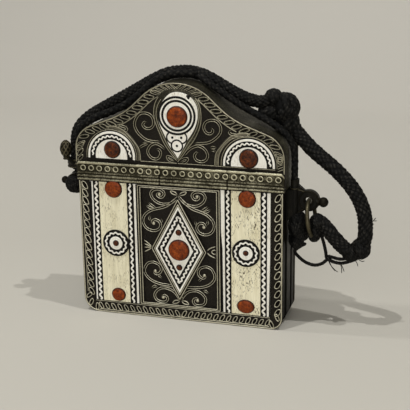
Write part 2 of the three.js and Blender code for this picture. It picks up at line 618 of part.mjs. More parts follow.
function addRightLug() {
  const y = RIGHT_LUG_Y;
  const halfThickness = LUG_THICKNESS / 2;
  const eyeX = RIGHT_EYE_X;
  const eyeZ = EYE_HEIGHT;
  const webX = eyeX - EYE_PLATE_RADIUS / 3;
  const webHalf = EYE_PLATE_RADIUS * 0.9;
  const web = plate(polygon([
    [STRAP_TUBE_X, STRAP_TUBE_BOTTOM + LUG_FOOT_MARGIN], [webX, eyeZ - webHalf],
    [webX, eyeZ + webHalf], [STRAP_TUBE_X, STRAP_TUBE_TOP - LUG_FOOT_MARGIN],
  ]), y - halfThickness + WEB_INSET, y + halfThickness - WEB_INSET);
  const foot = box(
    [BODY_WALL_FACE + SEAM, y - LUG_FOOT_HALF_DEPTH, STRAP_TUBE_BOTTOM + LUG_FOOT_MARGIN],
    [STRAP_TUBE_X, y + LUG_FOOT_HALF_DEPTH, MOUTH_HEIGHT - LUG_FOOT_MARGIN],
  );
  const ballX = BODY_HALF + RIGHT_BALL_REACH;
  const lug = uniteAll([
    upright(STRAP_TUBE_X, y, STRAP_TUBE, STRAP_TUBE_BOTTOM, STRAP_TUBE_TOP, 20),
    web,
    foot,
    eyePlate(1, y, eyeX, eyeZ, ballX, eyeZ + RIGHT_BALL_RISE, RIGHT_BALL_RADIUS),
  ])
    .subtract(upright(STRAP_TUBE_X, y, STRAP_BORE, 0, FAR, 16))
    .subtract(disc(eyeX, eyeZ, EYE_BORE, y - LUG_THICKNESS, y + LUG_THICKNESS, 16))
    .subtract(box([0, -DEPTH_HALF, MOUTH_HEIGHT - FIT], [LID_HALF + FIT, DEPTH_HALF, FAR]));
  place('body_lug_right', lug, MATERIALS.darkSilver);
}

function addLeftLug() {
  const eyeX = -BODY_HALF - LEFT_EYE_REACH;
  const ballX = -BODY_HALF - LEFT_BALL_REACH;
  const wallX = -BODY_WALL_FACE - SEAM;
  const halfThickness = LUG_THICKNESS / 2;
  const eyeZ = EYE_HEIGHT;
  const webHalf = EYE_PLATE_RADIUS * 0.9;
  const web = plate(
    rectangle(eyeX + EYE_PLATE_RADIUS / 3, eyeZ - webHalf, wallX - LUG_FOOT_THICKNESS / 2, eyeZ + webHalf),
    -halfThickness + WEB_INSET, halfThickness - WEB_INSET,
  );
  const foot = box(
    [wallX - LUG_FOOT_THICKNESS, -LUG_FOOT_HALF_DEPTH, eyeZ - EYE_PLATE_RADIUS - LUG_FOOT_MARGIN],
    [wallX, LUG_FOOT_HALF_DEPTH, eyeZ + EYE_PLATE_RADIUS],
  );
  const lug = uniteAll([
    web, foot, eyePlate(-1, 0, eyeX, eyeZ, ballX, eyeZ + LEFT_BALL_RISE, LEFT_BALL_RADIUS),
  ]).subtract(disc(eyeX, eyeZ, EYE_BORE, -LUG_THICKNESS, LUG_THICKNESS, 16));
  place('body_lug_left', lug, MATERIALS.darkSilver);

  const core = disc(eyeX, eyeZ, EYE_BORE - FIT, -LUG_THICKNESS, LUG_THICKNESS, 12);
  const slot = disc(eyeX, eyeZ, EYE_PLATE_RADIUS * 2, -halfThickness - FIT, halfThickness + FIT, 24);
  place('cord_knot_left', lobes(LEFT_KNOT_LOBES, 0).subtract(slot).add(core), MATERIALS.cord);
}

function addLid() {
  place('lid_rim', plate(lidShape(LID_RIM_RECESS, LID_FOOT), -LID_PLATE_BACK + SEAM, LID_PLATE_BACK - SEAM)
    .subtract(plate(lidShape(LID_RIM_RECESS + LID_RIM, LID_FOOT - 1), -LID_FRONT, LID_FRONT)), MATERIALS.darkSilver);
  place('lid_front_plate', plate(lidShape(0, LID_FOOT), -LID_FRONT, -LID_PLATE_BACK), MATERIALS.silver);
  place('lid_back_plate', plate(lidShape(0, LID_FOOT), LID_PLATE_BACK, LID_FRONT), MATERIALS.darkSilver);

  const profile = new THREE.Shape();
  const face = -LID_FRONT - SEAM;
  const skin = face - BAND_THICKNESS;
  profile.moveTo(face, LID_FOOT);
  profile.lineTo(face, BAND_TOP);
  profile.lineTo(skin, BAND_TOP);
  for (const bead of BAND_BEADS.toReversed()) {
    profile.absarc(skin, LID_FOOT + bead.height, bead.radius, Math.PI / 2, 1.5 * Math.PI, false);
  }
  profile.lineTo(skin, LID_FOOT);
  const bandHalf = LID_HALF - BAND_END_INSET;
  const bar = new THREE.ExtrudeGeometry(profile, { depth: 2 * bandHalf, bevelEnabled: false, curveSegments: 2 });
  bar.applyMatrix4(ALONG_X);
  bar.translate(-bandHalf, 0, 0);
  const ends = plate(roundedRectangle(-bandHalf, LID_FOOT, bandHalf, BAND_TOP, BAND_CORNER), skin - 2, face + 1, 3);
  place('hem_band', solidFrom(bar).intersect(ends), MATERIALS.silver);
}

function addLidPlaques() {
  const face = -LID_FRONT - SEAM;
  const frameFront = face - PLAQUE_FRAME_THICKNESS;
  const boneFront = face - PLAQUE_THICKNESS;
  const seat = boneFront - SEAM;
  const field = plate(lidShape(LID_BORDER_WIDTH, LID_FOOT), frameFront - 1, face + 1);

  const frame = plate(teardropShape(TEARDROP_FRAME), frameFront, face, 8)
    .subtract(plate(teardropShape(SEAM), frameFront - 1, face + 1, 8))
    .intersect(field)
    .intersect(box([-BODY_HALF, frameFront - 1, BAND_TOP + SEAM], [BODY_HALF, face + 1, LID_TOP]));
  place('teardrop_frame', frame, MATERIALS.silver);
  place('teardrop_bone', plate(teardropShape(0), boneFront, face, 8), MATERIALS.whiteBone);
  const coralZ = LID_TOP - TEARDROP_CENTRE_DROP + TEARDROP_CORAL_RISE;
  place('teardrop_coral', dome(0, coralZ, TEARDROP_CORAL, TEARDROP_CORAL, seat), MATERIALS.coral);

  const sides = [[-1, 'left', HALFROUND_CORAL_LEFT], [1, 'right', HALFROUND_CORAL_RIGHT]];
  for (const [side, sideName, coral] of sides) {
    const ring = plate(halfRoundShape(side, HALFROUND_FRAME), frameFront, face)
      .subtract(plate(halfRoundShape(side, SEAM), frameFront - 1, face + 1))
      .intersect(field);
    place(`halfround_frame_${sideName}`, ring, MATERIALS.silver);
    place(`halfround_bone_${sideName}`, plate(halfRoundShape(side, 0), boneFront, face), MATERIALS.whiteBone);
    const z = BAND_TOP + HALFROUND_FOOT_ABOVE_BAND + HALFROUND_CORAL_RISE;
    place(`halfround_coral_${sideName}`, dome(side * HALFROUND_SPACING, z, coral, coral, seat), MATERIALS.darkCoral);
  }
}

function addLidLug() {
  const top = LID_EYE_BOTTOM + LID_EYE_HEIGHT;
  const wallX = -LID_WALL_FACE - SEAM;
  const foot = box(
    [wallX - LUG_FOOT_THICKNESS, LID_EYE_Y - LUG_FOOT_HALF_DEPTH, LID_EYE_BOTTOM - LUG_FOOT_MARGIN / 2],
    [wallX, LID_EYE_Y + LUG_FOOT_HALF_DEPTH, top + LUG_FOOT_MARGIN],
  );
  const arm = box(
    [LID_EYE_X, LID_EYE_Y - LID_ARM_HALF_DEPTH, LID_EYE_BOTTOM + LUG_FOOT_MARGIN / 2],
    [wallX - LUG_FOOT_THICKNESS / 2, LID_EYE_Y + LID_ARM_HALF_DEPTH, top - LUG_FOOT_MARGIN / 2],
  );
  const ringFront = [LID_EYE_X, LID_EYE_Y - LID_EYE_BORE - LID_EYE_WALL / 2, LID_EYE_BOTTOM + LID_EYE_HEIGHT / 2];
  const beadFoot = [BEAD_CENTRE[0], BEAD_CENTRE[1], BEAD_CENTRE[2] - BEAD_HALF_SIZE[2] * 0.85];
  const lug = uniteAll([
    upright(LID_EYE_X, LID_EYE_Y, LID_EYE_BORE + LID_EYE_WALL, LID_EYE_BOTTOM, top, 20),
    foot,
    arm,
    taper(ringFront, beadFoot, BEAD_NECK_RADIUS, BEAD_NECK_RADIUS),
    ellipsoid(BEAD_CENTRE, BEAD_HALF_SIZE, 16, 10),
  ]).subtract(upright(LID_EYE_X, LID_EYE_Y, LID_EYE_BORE, 0, FAR, 20));
  place('lid_lug_left', lug, MATERIALS.darkSilver);
}

// The ring hangs through the right eye; it is a ring in the Y-Z plane, leaning outwards at its foot.
function ringSolid(grow) {
  const geometry = new THREE.TorusGeometry(RING_RADIUS, RING_WIRE + grow, 8, 28);
  geometry.rotateY(Math.PI / 2);
  geometry.translate(0, 0, -RING_RADIUS);
  geometry.rotateY(-RING_LEAN);
  geometry.translate(RIGHT_EYE_X, RIGHT_LUG_Y, EYE_HEIGHT);
  return solidFrom(geometry);
}

function swingCylinder(radius) {
  return disc(RIGHT_EYE_X, EYE_HEIGHT, radius, RIGHT_LUG_Y - BODY_DEPTH, RIGHT_LUG_Y + BODY_DEPTH, 72);
}

function above(z) {
  return box([-FAR, -FAR, z], [FAR, FAR, FAR]);
}

function below(z) {
  return box([-FAR, -FAR, -FAR], [FAR, FAR, z]);
}

function addRingAndCord() {
  place('cord_ring', ringSolid(0), MATERIALS.silver);

  const hitch = lobes(HITCH_LOBES, 0)
    .add(cordAlong(LOOP_RETURN_ROUTE, LOOP_DIAMETER / 2, 8, 10).intersect(swingCylinder(SWING_SPLIT_RADIUS)))
    .subtract(ringSolid(FIT));
  place('cord_hitch', mainPiece(hitch), MATERIALS.cord);

  const overLid = cordAlong(OVER_LID_ROUTE, CORD_DIAMETER / 2, 26, 10);
  const strap = cordAlong(STRAP_ROUTE, STRAP_RADIUS, 24, 8);
  const strapRoom = cordAlong(STRAP_ROUTE, STRAP_RADIUS + FIT, 24, 8);
  const overLidRoom = cordAlong(OVER_LID_ROUTE, CORD_DIAMETER / 2 + FIT, 26, 10);
  const loop = cordAlong(LOOP_ROUTE, LOOP_DIAMETER / 2, 14, 10);
  const rimRoom = plate(lidShape(-FIT, LID_FOOT), -LID_FRONT - FIT, LID_FRONT + FIT);

  const topKnotRoom = lobes(TOP_KNOT_LOBES, FIT);
  const topKnot = lobes(TOP_KNOT_LOBES, 0).subtract(rimRoom).subtract(strapRoom);
  place('cord_knot_top', topKnot, MATERIALS.cord);
  place('cord_over_lid', mainPiece(overLid.subtract(topKnotRoom)), MATERIALS.cord);

  const strapOnLid = mainPiece(strap.intersect(above(STRAP_SPLIT_Z + FIT)).subtract(overLidRoom));
  place('cord_strap_upper', strapOnLid, MATERIALS.cord);
  const strapKnotRoom = lobes(STRAP_KNOT_LOBES, FIT);
  const strapInTube = mainPiece(strap.intersect(below(STRAP_SPLIT_Z)).subtract(strapKnotRoom));
  place('cord_strap_lower', strapInTube, MATERIALS.cord);
  place('cord_strap_knot', lobes(STRAP_KNOT_LOBES, 0), MATERIALS.cord);

  const loopOnLid = mainPiece(loop.intersect(above(LOOP_SPLIT_Z + FIT)).subtract(topKnotRoom));
  place('cord_loop_upper', loopOnLid, MATERIALS.cord);
  const back = cordAlong(LOOP_RETURN_ROUTE, LOOP_DIAMETER / 2, 8, 10)
    .subtract(swingCylinder(SWING_SPLIT_RADIUS + SWING_GAP));
  const loopLower = uniteAll([loop.intersect(below(LOOP_SPLIT_Z)), lobes(BEND_KNOT_LOBES, 0), back]);
  place('cord_loop', loopLower, MATERIALS.cord);

  const stringLine = cordAlong(STRING_ROUTE, STRING_DIAMETER / 2, 16, 8)
    .add(cordAlong(STRING_BRANCH_ROUTE, STRING_DIAMETER / 2, 4, 8))
    .subtract(strapKnotRoom)
    .subtract(lobes(BEND_KNOT_LOBES, FIT));
  place('binding_string', mainPiece(stringLine), MATERIALS.cord);
}

addBodyShell();
addSleeve();
addPanel();
addStrips(-1, 'left');
addStrips(1, 'right');
addRightLug();
addLeftLug();
addLid();
addLidPlaques();
addLidLug();
addRingAndCord();

export default part;
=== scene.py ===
"""The quran case of the photograph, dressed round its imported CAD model.

A flat metal case with a slip-on ogee lid, bone and coral inlay on its front, side lugs, a wire ring and a black
braided cord. Sizes in the classes are millimetres; a mesh turns to metres when it is built. In face sizes x runs
across the front, z runs up, and the front looks towards -y.
"""

import logging
import math
from collections.abc import Iterable, Sequence
from dataclasses import dataclass, field
from enum import Enum
from functools import cache

import bpy
import numpy as np
from mathutils import Matrix, Vector


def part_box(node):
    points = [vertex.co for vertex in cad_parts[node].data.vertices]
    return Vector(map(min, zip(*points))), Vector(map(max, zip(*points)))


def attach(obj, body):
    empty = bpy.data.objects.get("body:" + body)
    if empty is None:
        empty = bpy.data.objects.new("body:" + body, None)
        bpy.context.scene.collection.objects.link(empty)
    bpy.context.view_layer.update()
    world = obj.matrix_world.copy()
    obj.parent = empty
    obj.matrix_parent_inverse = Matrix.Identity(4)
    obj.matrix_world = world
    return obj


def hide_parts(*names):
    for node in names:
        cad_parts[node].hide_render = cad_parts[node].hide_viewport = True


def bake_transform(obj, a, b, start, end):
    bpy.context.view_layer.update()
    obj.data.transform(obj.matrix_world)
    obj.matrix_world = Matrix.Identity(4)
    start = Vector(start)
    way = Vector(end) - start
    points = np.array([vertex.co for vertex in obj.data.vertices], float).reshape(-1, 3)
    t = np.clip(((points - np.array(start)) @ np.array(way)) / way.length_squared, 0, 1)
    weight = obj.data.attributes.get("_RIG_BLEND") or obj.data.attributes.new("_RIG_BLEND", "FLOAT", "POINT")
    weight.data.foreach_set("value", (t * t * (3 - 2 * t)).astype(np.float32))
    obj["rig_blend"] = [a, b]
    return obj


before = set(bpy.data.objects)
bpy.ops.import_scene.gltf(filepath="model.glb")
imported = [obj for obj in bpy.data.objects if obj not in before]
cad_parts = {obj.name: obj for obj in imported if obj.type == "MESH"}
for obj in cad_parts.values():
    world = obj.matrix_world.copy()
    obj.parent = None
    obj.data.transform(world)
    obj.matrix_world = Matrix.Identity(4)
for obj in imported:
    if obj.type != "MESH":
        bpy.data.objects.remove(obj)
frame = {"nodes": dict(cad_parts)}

MM = 0.001
IMAGE_PIXELS = 410
SENSOR_MM = 36.0
TAU = 2 * math.pi
UP = (0, 0, 1)
# The crest value of plain pieces
PLAIN_CREST = 0.6
# Distance between the points of a scroll, and length of cord in one unit of its "lay" map
SCROLL_STEP = 0.4
LAY_LENGTH = 10
# Where a bar's domed end starts, and how thin a tapered ridge ends
BLUNT_END = 0.12
THIN_END = 0.35

Array = np.ndarray
Place = tuple[float, float]
Spot = tuple[float, float, float]
Flat = Sequence[Place]
Route = Sequence[Spot]
Lobe = tuple[Spot, Spot]
Colour = tuple[float, float, float]
Item = bpy.types.Object
Node = bpy.types.Node
Socket = bpy.types.NodeSocket
Tree = bpy.types.NodeTree

log = logging.getLogger("quran_case")


class Body(Enum):
    """The bodies that pieces ride on."""

    CASE = "case_body"
    LID = "lid"
    RING = "ring"


class Slot(Enum):
    """The record's material slots that pieces use."""

    SILVER = "silver"
    DARK_SILVER = "dark_silver"
    WHITE_BONE = "white_bone"
    INLAY = "inlay"
    CORAL = "coral"
    DARK_CORAL = "dark_coral"
    CORD = "cord"


class Side(Enum):
    """The two sides of the case, as the sign of x."""

    LEFT = -1
    RIGHT = 1

    @property
    def word(self) -> str:
        """The side's name in node names."""
        return self.name.lower()


# Lines and meshes


def distances(line: Array) -> Array:
    """Distance along a line to each of its points."""
    return np.concatenate([[0], np.cumsum(np.linalg.norm(np.diff(line, axis=0), axis=1))])


def on_face(flat: Array, y: float) -> Array:
    """Points of x and z set at a depth y."""
    return np.stack([flat[:, 0], np.full(len(flat), y), flat[:, 1]], 1)


def edge_points(corners: Flat, count: int) -> Array:
    """Points on the straight edges between corners, count on each, without the last corner."""
    p = np.array(corners, float)
    return np.concatenate([np.linspace(a, b, count, endpoint=False) for a, b in zip(p[:-1], p[1:])])


def even_line(line: Array, step: float) -> Array:
    """Spaces a line's points evenly.

    Args:
        line: Points of the line, one row each.
        step: Wanted distance between points.

    Returns:
        The same line with even spacing, both ends kept.
    """
    along = distances(line)
    count = max(3, int(round(along[-1] / step)) + 1)
    at = np.linspace(0, along[-1], count)
    return np.stack([np.interp(at, along, line[:, k]) for k in range(line.shape[1])], axis=1)


def smooth_line(points: Sequence[Sequence[float]], step: float, closed: bool = False) -> Array:
    """Lays a smooth line through points.

    Args:
        points: The points it passes through.
        step: Distance between the points of the result.
        closed: Whether it comes back to its first point.

    Returns:
        The line's points; a closed line repeats its first point at the end.
    """
    p = np.array(points, float)
    if closed:
        p = np.vstack([p[-1], p, p[0], p[1]])
    else:
        p = np.vstack([2 * p[0] - p[1], p, 2 * p[-1] - p[-2]])
    t = np.linspace(0, 1, 20, endpoint=False)[:, None]
    rows = []
    for a, b, c, d in zip(p[:-3], p[1:-2], p[2:-1], p[3:]):
        rows.append(
            0.5 * (2 * b + (c - a) * t + (2 * a - 5 * b + 4 * c - d) * t**2 + (3 * b - a - 3 * c + d) * t**3)
        )
    return even_line(np.vstack([*rows, p[-2]]), step)


def arc(centre: Place, radius: float, start: float, end: float, count: int = 40) -> Array:
    """Points of a circular arc on the face.

    Args:
        centre: Its centre.
        radius: Its radius.
        start: First angle in degrees.
        end: Last angle in degrees.
        count: Number of points.

    Returns:
        The points as rows of x and z.
    """
    a = np.radians(np.linspace(start, end, count))
    return np.stack([centre[0] + radius * np.cos(a), centre[1] + radius * np.sin(a)], axis=1)


def mirrored(line: Flat | Array, stretch: float = 1.0) -> Array:
    """The line on the other side of the middle, x times stretch."""
    return np.array(line, float) * np.array([-stretch, 1.0])


def turning_frames(line: Array, closed: bool) -> tuple[Array, Array]:
    """Gives each point of a line two directions square to it, with the least twist.

    Args:
        line: The line's points.
        closed: Whether its last point is its first.

    Returns:
        The two directions at each point.
    """
    tangent = np.gradient(line, axis=0)
    if closed:
        tangent[0] = tangent[-1] = line[1] - line[-2]
    tangent /= np.linalg.norm(tangent, axis=1)[:, None]
    first = np.cross(tangent[0], (0, 1, 0))
    if np.linalg.norm(first) < 0.2:
        first = np.cross(tangent[0], UP)
    side = np.empty_like(line)
    side[0] = first / np.linalg.norm(first)
    for i in range(1, len(line)):
        v = side[i - 1] - tangent[i] * (side[i - 1] @ tangent[i])
        side[i] = v / np.linalg.norm(v)
    up = np.cross(tangent, side)
    if closed:
        slip = math.atan2(side[0] @ up[-1], side[0] @ side[-1])
        turn = np.linspace(0, slip, len(line))[:, None]
        side, up = np.cos(turn) * side + np.sin(turn) * up, np.cos(turn) * up - np.sin(turn) * side
    return side, up


@dataclass
class Shape:
    """A mesh in millimetres with a crest value, 0 in the hollows and 1 on the heights, for each point."""

    points: Array
    faces: list[tuple[int, ...]]
    crest: Array
    lay: Array | None = None

    def moved(self, offset: Sequence[float]) -> "Shape":
        """The shape moved by offset."""
        return Shape(self.points + np.array(offset, float), self.faces, self.crest, self.lay)

    def mirrored(self) -> "Shape":
        """The shape on the other side of x = 0, still turned outwards."""
        flipped = [tuple(reversed(f)) for f in self.faces]
        lay = None if self.lay is None else self.lay.reshape(-1, 4, 2)[:, ::-1].reshape(-1, 2)
        return Shape(self.points * np.array([-1.0, 1, 1]), flipped, self.crest, lay)


def joined(shapes: Iterable[Shape]) -> Shape:
    """Puts several shapes in one mesh.

    Args:
        shapes: The shapes.

    Returns:
        One shape with all their faces.
    """
    parts = list(shapes)
    faces: list[tuple[int, ...]] = []
    base = 0
    for part in parts:
        faces += [tuple(i + base for i in f) for f in part.faces]
        base += len(part.points)
    lay = None
    if all(p.lay is not None for p in parts):
        lay = np.concatenate([p.lay for p in parts])
    return Shape(np.concatenate([p.points for p in parts]), faces, np.concatenate([p.crest for p in parts]), lay)


def grid_faces(rows: int, columns: int, wrap_rows: bool, wrap_columns: bool) -> list[tuple[int, ...]]:
    """Quads of a grid of points, row after row.

    Args:
        rows: Number of rows.
        columns: Points in a row.
        wrap_rows: Whether the last row joins the first.
        wrap_columns: Whether a row's last point joins its first.

    Returns:
        The faces.
    """
    i = np.arange(rows if wrap_rows else rows - 1)
    j = np.arange(columns if wrap_columns else columns - 1)
    a, b = np.meshgrid(i, j, indexing="ij")
    a2, b2 = (a + 1) % rows, (b + 1) % columns
    quads = np.stack([a * columns + b, a * columns + b2, a2 * columns + b2, a2 * columns + b], -1)
    return [tuple(q) for q in quads.reshape(-1, 4).tolist()]


def build(name: str, shape: Shape, finish: "Finish", smooth: bool = True) -> Item:
    """Makes a piece from a shape, in metres, with its faces outwards.

    Args:
        name: The piece's name.
        shape: Its mesh in millimetres.
        finish: Its finish.
        smooth: Whether it is shaded smooth.

    Returns:
        The new object, at the origin.
    """
    mesh = bpy.data.meshes.new(name)
    mesh.from_pydata((shape.points * MM).tolist(), [], shape.faces)
    mesh.attributes.new("crest", "FLOAT", "POINT").data.foreach_set("value", shape.crest.astype(np.float32))
    if shape.lay is not None:
        layer = mesh.uv_layers.new(name="lay")
        layer.data.foreach_set("uv", shape.lay.astype(np.float32).ravel())
    return finished(name, mesh, finish, smooth)


def finished(name: str, mesh: bpy.types.Mesh, finish: "Finish", smooth: bool) -> Item:
    """Turns a mesh's faces outwards, gives it its finish and puts it in the scene.

    Args:
        name: The piece's name.
        mesh: Its closed mesh, in metres.
        finish: Its finish.
        smooth: Whether it is shaded smooth.

    Returns:
        The new object.
    """
    mesh.validate()
    count = len(mesh.vertices)
    points = np.empty(count * 3)
    mesh.vertices.foreach_get("co", points)
    points = points.reshape(-1, 3)
    mesh.calc_loop_triangles()
    corners = np.empty(len(mesh.loop_triangles) * 3, int)
    mesh.loop_triangles.foreach_get("vertices", corners)
    a, b, c = points[corners.reshape(-1, 3)].transpose(1, 0, 2)
    if np.einsum("ij,ij->i", a - points.mean(0), np.cross(b - points.mean(0), c - points.mean(0))).sum() < 0:
        mesh.flip_normals()
    mesh.materials.clear()
    mesh.materials.append(finish.material())
    mesh.polygons.foreach_set("use_smooth", np.full(len(mesh.polygons), smooth))
    mesh.update()
    made = bpy.data.objects.new(name, mesh)
    bpy.context.collection.objects.link(made)
    return made


def settle(piece: Item, body: Body, slot: Slot, *nodes: str) -> Item:
    """Makes a piece ride on its body in place of CAD nodes, and reports it.

    Args:
        piece: The piece.
        body: What it rides on.
        slot: The record's slot for its finish; not used.
        nodes: CAD nodes that it stands for.

    Returns:
        The piece.
    """
    if "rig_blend" not in piece:
        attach(piece, body.value)
    if nodes:
        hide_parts(*nodes)
    log.info("%s: %d faces", piece.name, len(piece.data.polygons))
    return piece


def tube(
    line: Array,
    radius: float | Array,
    sides: int = 12,
    closed: bool = False,
    weave: "Weave | None" = None,
) -> Shape:
    """A round bar along a line, with domed ends.

    Args:
        line: The line's points, evenly spaced.
        radius: Its radius, or one for each point.
        sides: Points round it.
        closed: Whether the line is a closed loop.
        weave: Its strands, if it is a cord.

    Returns:
        The bar.
    """
    side, up = turning_frames(line, closed)
    along = distances(line)
    size = np.broadcast_to(np.asarray(radius, float), (len(line),)).copy()
    if not closed:
        end = np.minimum(along, along[-1] - along) / np.maximum(size, 1e-6)
        size *= np.sqrt(np.clip(1 - (1 - np.clip(end, BLUNT_END, 1)) ** 2, 0, 1))
    theta = np.linspace(0, TAU, sides, endpoint=False)
    ring_size = np.repeat(size[:, None], sides, axis=1)
    crest = np.full((len(line), sides), PLAIN_CREST)
    if weave is not None:
        rise, crest = weave.relief(along[:, None], theta[None, :])
        ring_size = ring_size + rise * (size / size.max())[:, None]
    across = ring_size * np.cos(theta)
    over = ring_size * np.sin(theta)
    offset = across[..., None] * side[:, None] + over[..., None] * up[:, None]
    points = line[:, None] + offset
    rows = len(line)
    if closed:
        rows -= 1
        shape = Shape(points[:-1].reshape(-1, 3), grid_faces(rows, sides, True, True), crest[:-1].ravel())
    else:
        shape = capped(points)
        shape.crest[: rows * sides] = crest.ravel()
    around = np.arange(sides + 1) / sides
    lay = []
    for i in range(rows if closed else rows - 1):
        u, u2 = along[i] / LAY_LENGTH, along[i + 1] / LAY_LENGTH
        for v, v2 in zip(around[:-1], around[1:]):
            lay += [(u, v), (u, v2), (u2, v2), (u2, v)]
    lay += [(0, 0)] * (0 if closed else 6 * sides)
    shape.lay = np.array(lay)
    return shape


def capped(rings: Sequence[Array] | Array, crest: Sequence[float] = ()) -> Shape:
    """A closed shape through rings of points, its two ends closed in their middles.

    Args:
        rings: The rings, each with as many points.
        crest: The rings' crest values; the plain one where none are given.

    Returns:
        The shape.
    """
    grid = np.array(rings, float)
    rows, columns = grid.shape[:2]
    faces = grid_faces(rows, columns, False, True)
    first, last = rows * columns, (rows - 1) * columns
    for j in range(columns):
        k = (j + 1) % columns
        faces += [(first, k, j), (first + 1, last + j, last + k)]
    levels = np.array(crest if len(crest) else [PLAIN_CREST] * rows, float)
    values = np.concatenate([np.repeat(levels, columns), levels[[0, -1]]])
    return Shape(np.concatenate([grid.reshape(-1, 3), grid[[0, -1]].mean(1)]), faces, values)


def ellipsoid(
    centre: Sequence[float], size: Sequence[float], rows: int = 18, columns: int = 24, lattice: float = 0.0
) -> Shape:
    """A closed egg shape.

    Args:
        centre: Its centre.
        size: Its three half sizes.
        rows: Rows from pole to pole.
        columns: Points round it.
        lattice: Height of crossed ribs on it, as a share of its size.

    Returns:
        The shape, with its poles in z.
    """
    lon = np.linspace(0, TAU, columns, endpoint=False)
    rings, crest = [], []
    for a in np.radians(np.linspace(-88, 88, rows)):
        ribs = np.maximum(np.abs(np.sin(4 * lon + 4 * a)), np.abs(np.sin(4 * lon - 4 * a))) ** 4
        reach = 1 + lattice * ribs[:, None]
        unit = np.stack([np.cos(a) * np.cos(lon), np.cos(a) * np.sin(lon), np.full(columns, np.sin(a))], 1)
        rings.append(unit * reach * np.array(size) + np.array(centre))
        crest.append(ribs if lattice else np.full(columns, PLAIN_CREST))
    shape = capped(rings)
    shape.crest[: rows * columns] = np.concatenate(crest)
    return shape


def cake(outer: Array, front: float, back: float, inner: Array | None = None, crest: float = 0.5) -> Shape:
    """A thin plate on the face, with or without a hole.

    Args:
        outer: Its outline, not repeating its first point.
        front: y of its front.
        back: y of its back.
        inner: The hole's outline, with as many points.
        crest: Its crest value.

    Returns:
        The plate.
    """
    count = len(outer)
    if inner is None:
        inner = np.repeat(outer.mean(0)[None], count, axis=0)
    loops = [(outer, back), (outer, front), (inner, front), (inner, back)]
    points = np.concatenate([on_face(line, y) for line, y in loops])
    return Shape(points, grid_faces(4, count, True, True), np.full(len(points), crest))


def disc(outline: Array, front: float, back: float, round_edge: float = 0.12) -> Shape:
    """A thin solid disc on the face with a softened rim.

    Args:
        outline: Its outline, not repeating its first point.
        front: y of its front.
        back: y of its back.
        round_edge: How far the rim is softened.

    Returns:
        The disc.
    """
    middle = outline.mean(0)
    away = outline - middle
    reach = np.linalg.norm(away, axis=1)[:, None]
    rings = []
    for shrink, y in ((0.0, back), (0.0, front + round_edge), (round_edge, front)):
        rings.append(on_face(middle + away * (reach - shrink) / reach, y))
    return capped(rings, [0.5] * 3)


@dataclass(frozen=True)
class Weave:
    """How a cord's strands cross on its surface, in millimetres."""

    strands: int
    turn: float
    depth: float

    def relief(self, along: Array, theta: Array) -> tuple[Array, Array]:
        """Height of the strands.

        Args:
            along: Distance along the cord.
            theta: Angle round it.

        Returns:
            How far the surface stands out, and the crest values.
        """
        # Slow drifts keep the strands uneven, as in braid made by hand
        pace = along * TAU / self.turn
        drift = 0.05 * np.sin(0.61 * pace) + 0.03 * np.sin(1.7 * pace + theta)
        along = along + self.turn * 0.03 * np.sin(0.83 * pace + 2 * theta)
        p = self.strands * (theta / TAU + drift + along / self.turn)
        q = self.strands * (theta / TAU + drift - along / self.turn)
        over = (np.floor(p + 1e-6) + np.floor(q + 1e-6)) % 2 == 0
        across = np.where(over, p % 1, q % 1)
        run = np.where(over, q % 1, p % 1)
        bulge = np.sqrt(np.clip(1 - (2 * across - 1) ** 2, 0, 1)) * (0.5 + 0.5 * np.sin(np.pi * run))
        return self.depth * (bulge - 0.5), bulge**1.5


# Node trees


class Nodes:
    """Adds nodes to a tree and links them."""

    def __init__(self, tree: Tree) -> None:
        """Keeps the tree."""
        self.tree = tree

    def put(self, socket: Socket, value: object) -> None:
        """Links a socket to another, or sets its value.

        Args:
            socket: The socket.
            value: What goes in it: a socket, a number, a vector or a colour.
        """
        if isinstance(value, Socket):
            self.tree.links.new(value, socket)
        elif socket.type == "RGBA" and len(value) == 3:
            socket.default_value = (*value, 1)
        else:
            socket.default_value = value

    def add(self, kind: str, values: dict[str | int, object] | None = None, **settings: object) -> Node:
        """Adds one node.

        Args:
            kind: Its type.
            values: Its inputs by name or number, each a value or a socket to link.
            settings: Its other settings.

        Returns:
            The node.
        """
        node = self.tree.nodes.new(kind)
        for key, value in settings.items():
            setattr(node, key, value)
        for key, value in (values or {}).items():
            self.put(node.inputs[key], value)
        return node

    def math(self, operation: str, *values: object) -> Socket:
        """Result of a Math node."""
        return self.add("ShaderNodeMath", dict(enumerate(values)), operation=operation).outputs[0]

    def spread(self, value: object, low: float, high: float, to_low: float = 0.0, to_high: float = 1.0) -> Socket:
        """Maps low..high to to_low..to_high, clamped."""
        inputs = {"Value": value, "From Min": low, "From Max": high, "To Min": to_low, "To Max": to_high}
        return self.add("ShaderNodeMapRange", inputs, clamp=True).outputs["Result"]

    def blend(self, share: object, first: object, second: object) -> Socket:
        """Mixes two colours.

        Args:
            share: How much of the second there is, 0 to 1.
            first: The first colour.
            second: The second colour.

        Returns:
            The colour between them.
        """
        node = self.add("ShaderNodeMix", data_type="RGBA", clamp_factor=True)
        for socket, value in zip((node.inputs[0], node.inputs[6], node.inputs[7]), (share, first, second)):
            self.put(socket, value)
        return node.outputs[2]

    def noise(self, where: object, scale: object, detail: float = 3.0, rough: float = 0.55) -> Socket:
        """Value of a Noise Texture."""
        inputs = {"Vector": where, "Scale": scale, "Detail": detail, "Roughness": rough}
        return self.add("ShaderNodeTexNoise", inputs).outputs["Fac"]

    def stretched(self, where: object, scale: Spot, turn: Spot = (0, 0, 0)) -> Socket:
        """Coordinates scaled by a Mapping node."""
        return self.add("ShaderNodeMapping", {"Vector": where, "Scale": scale, "Rotation": turn}).outputs[0]


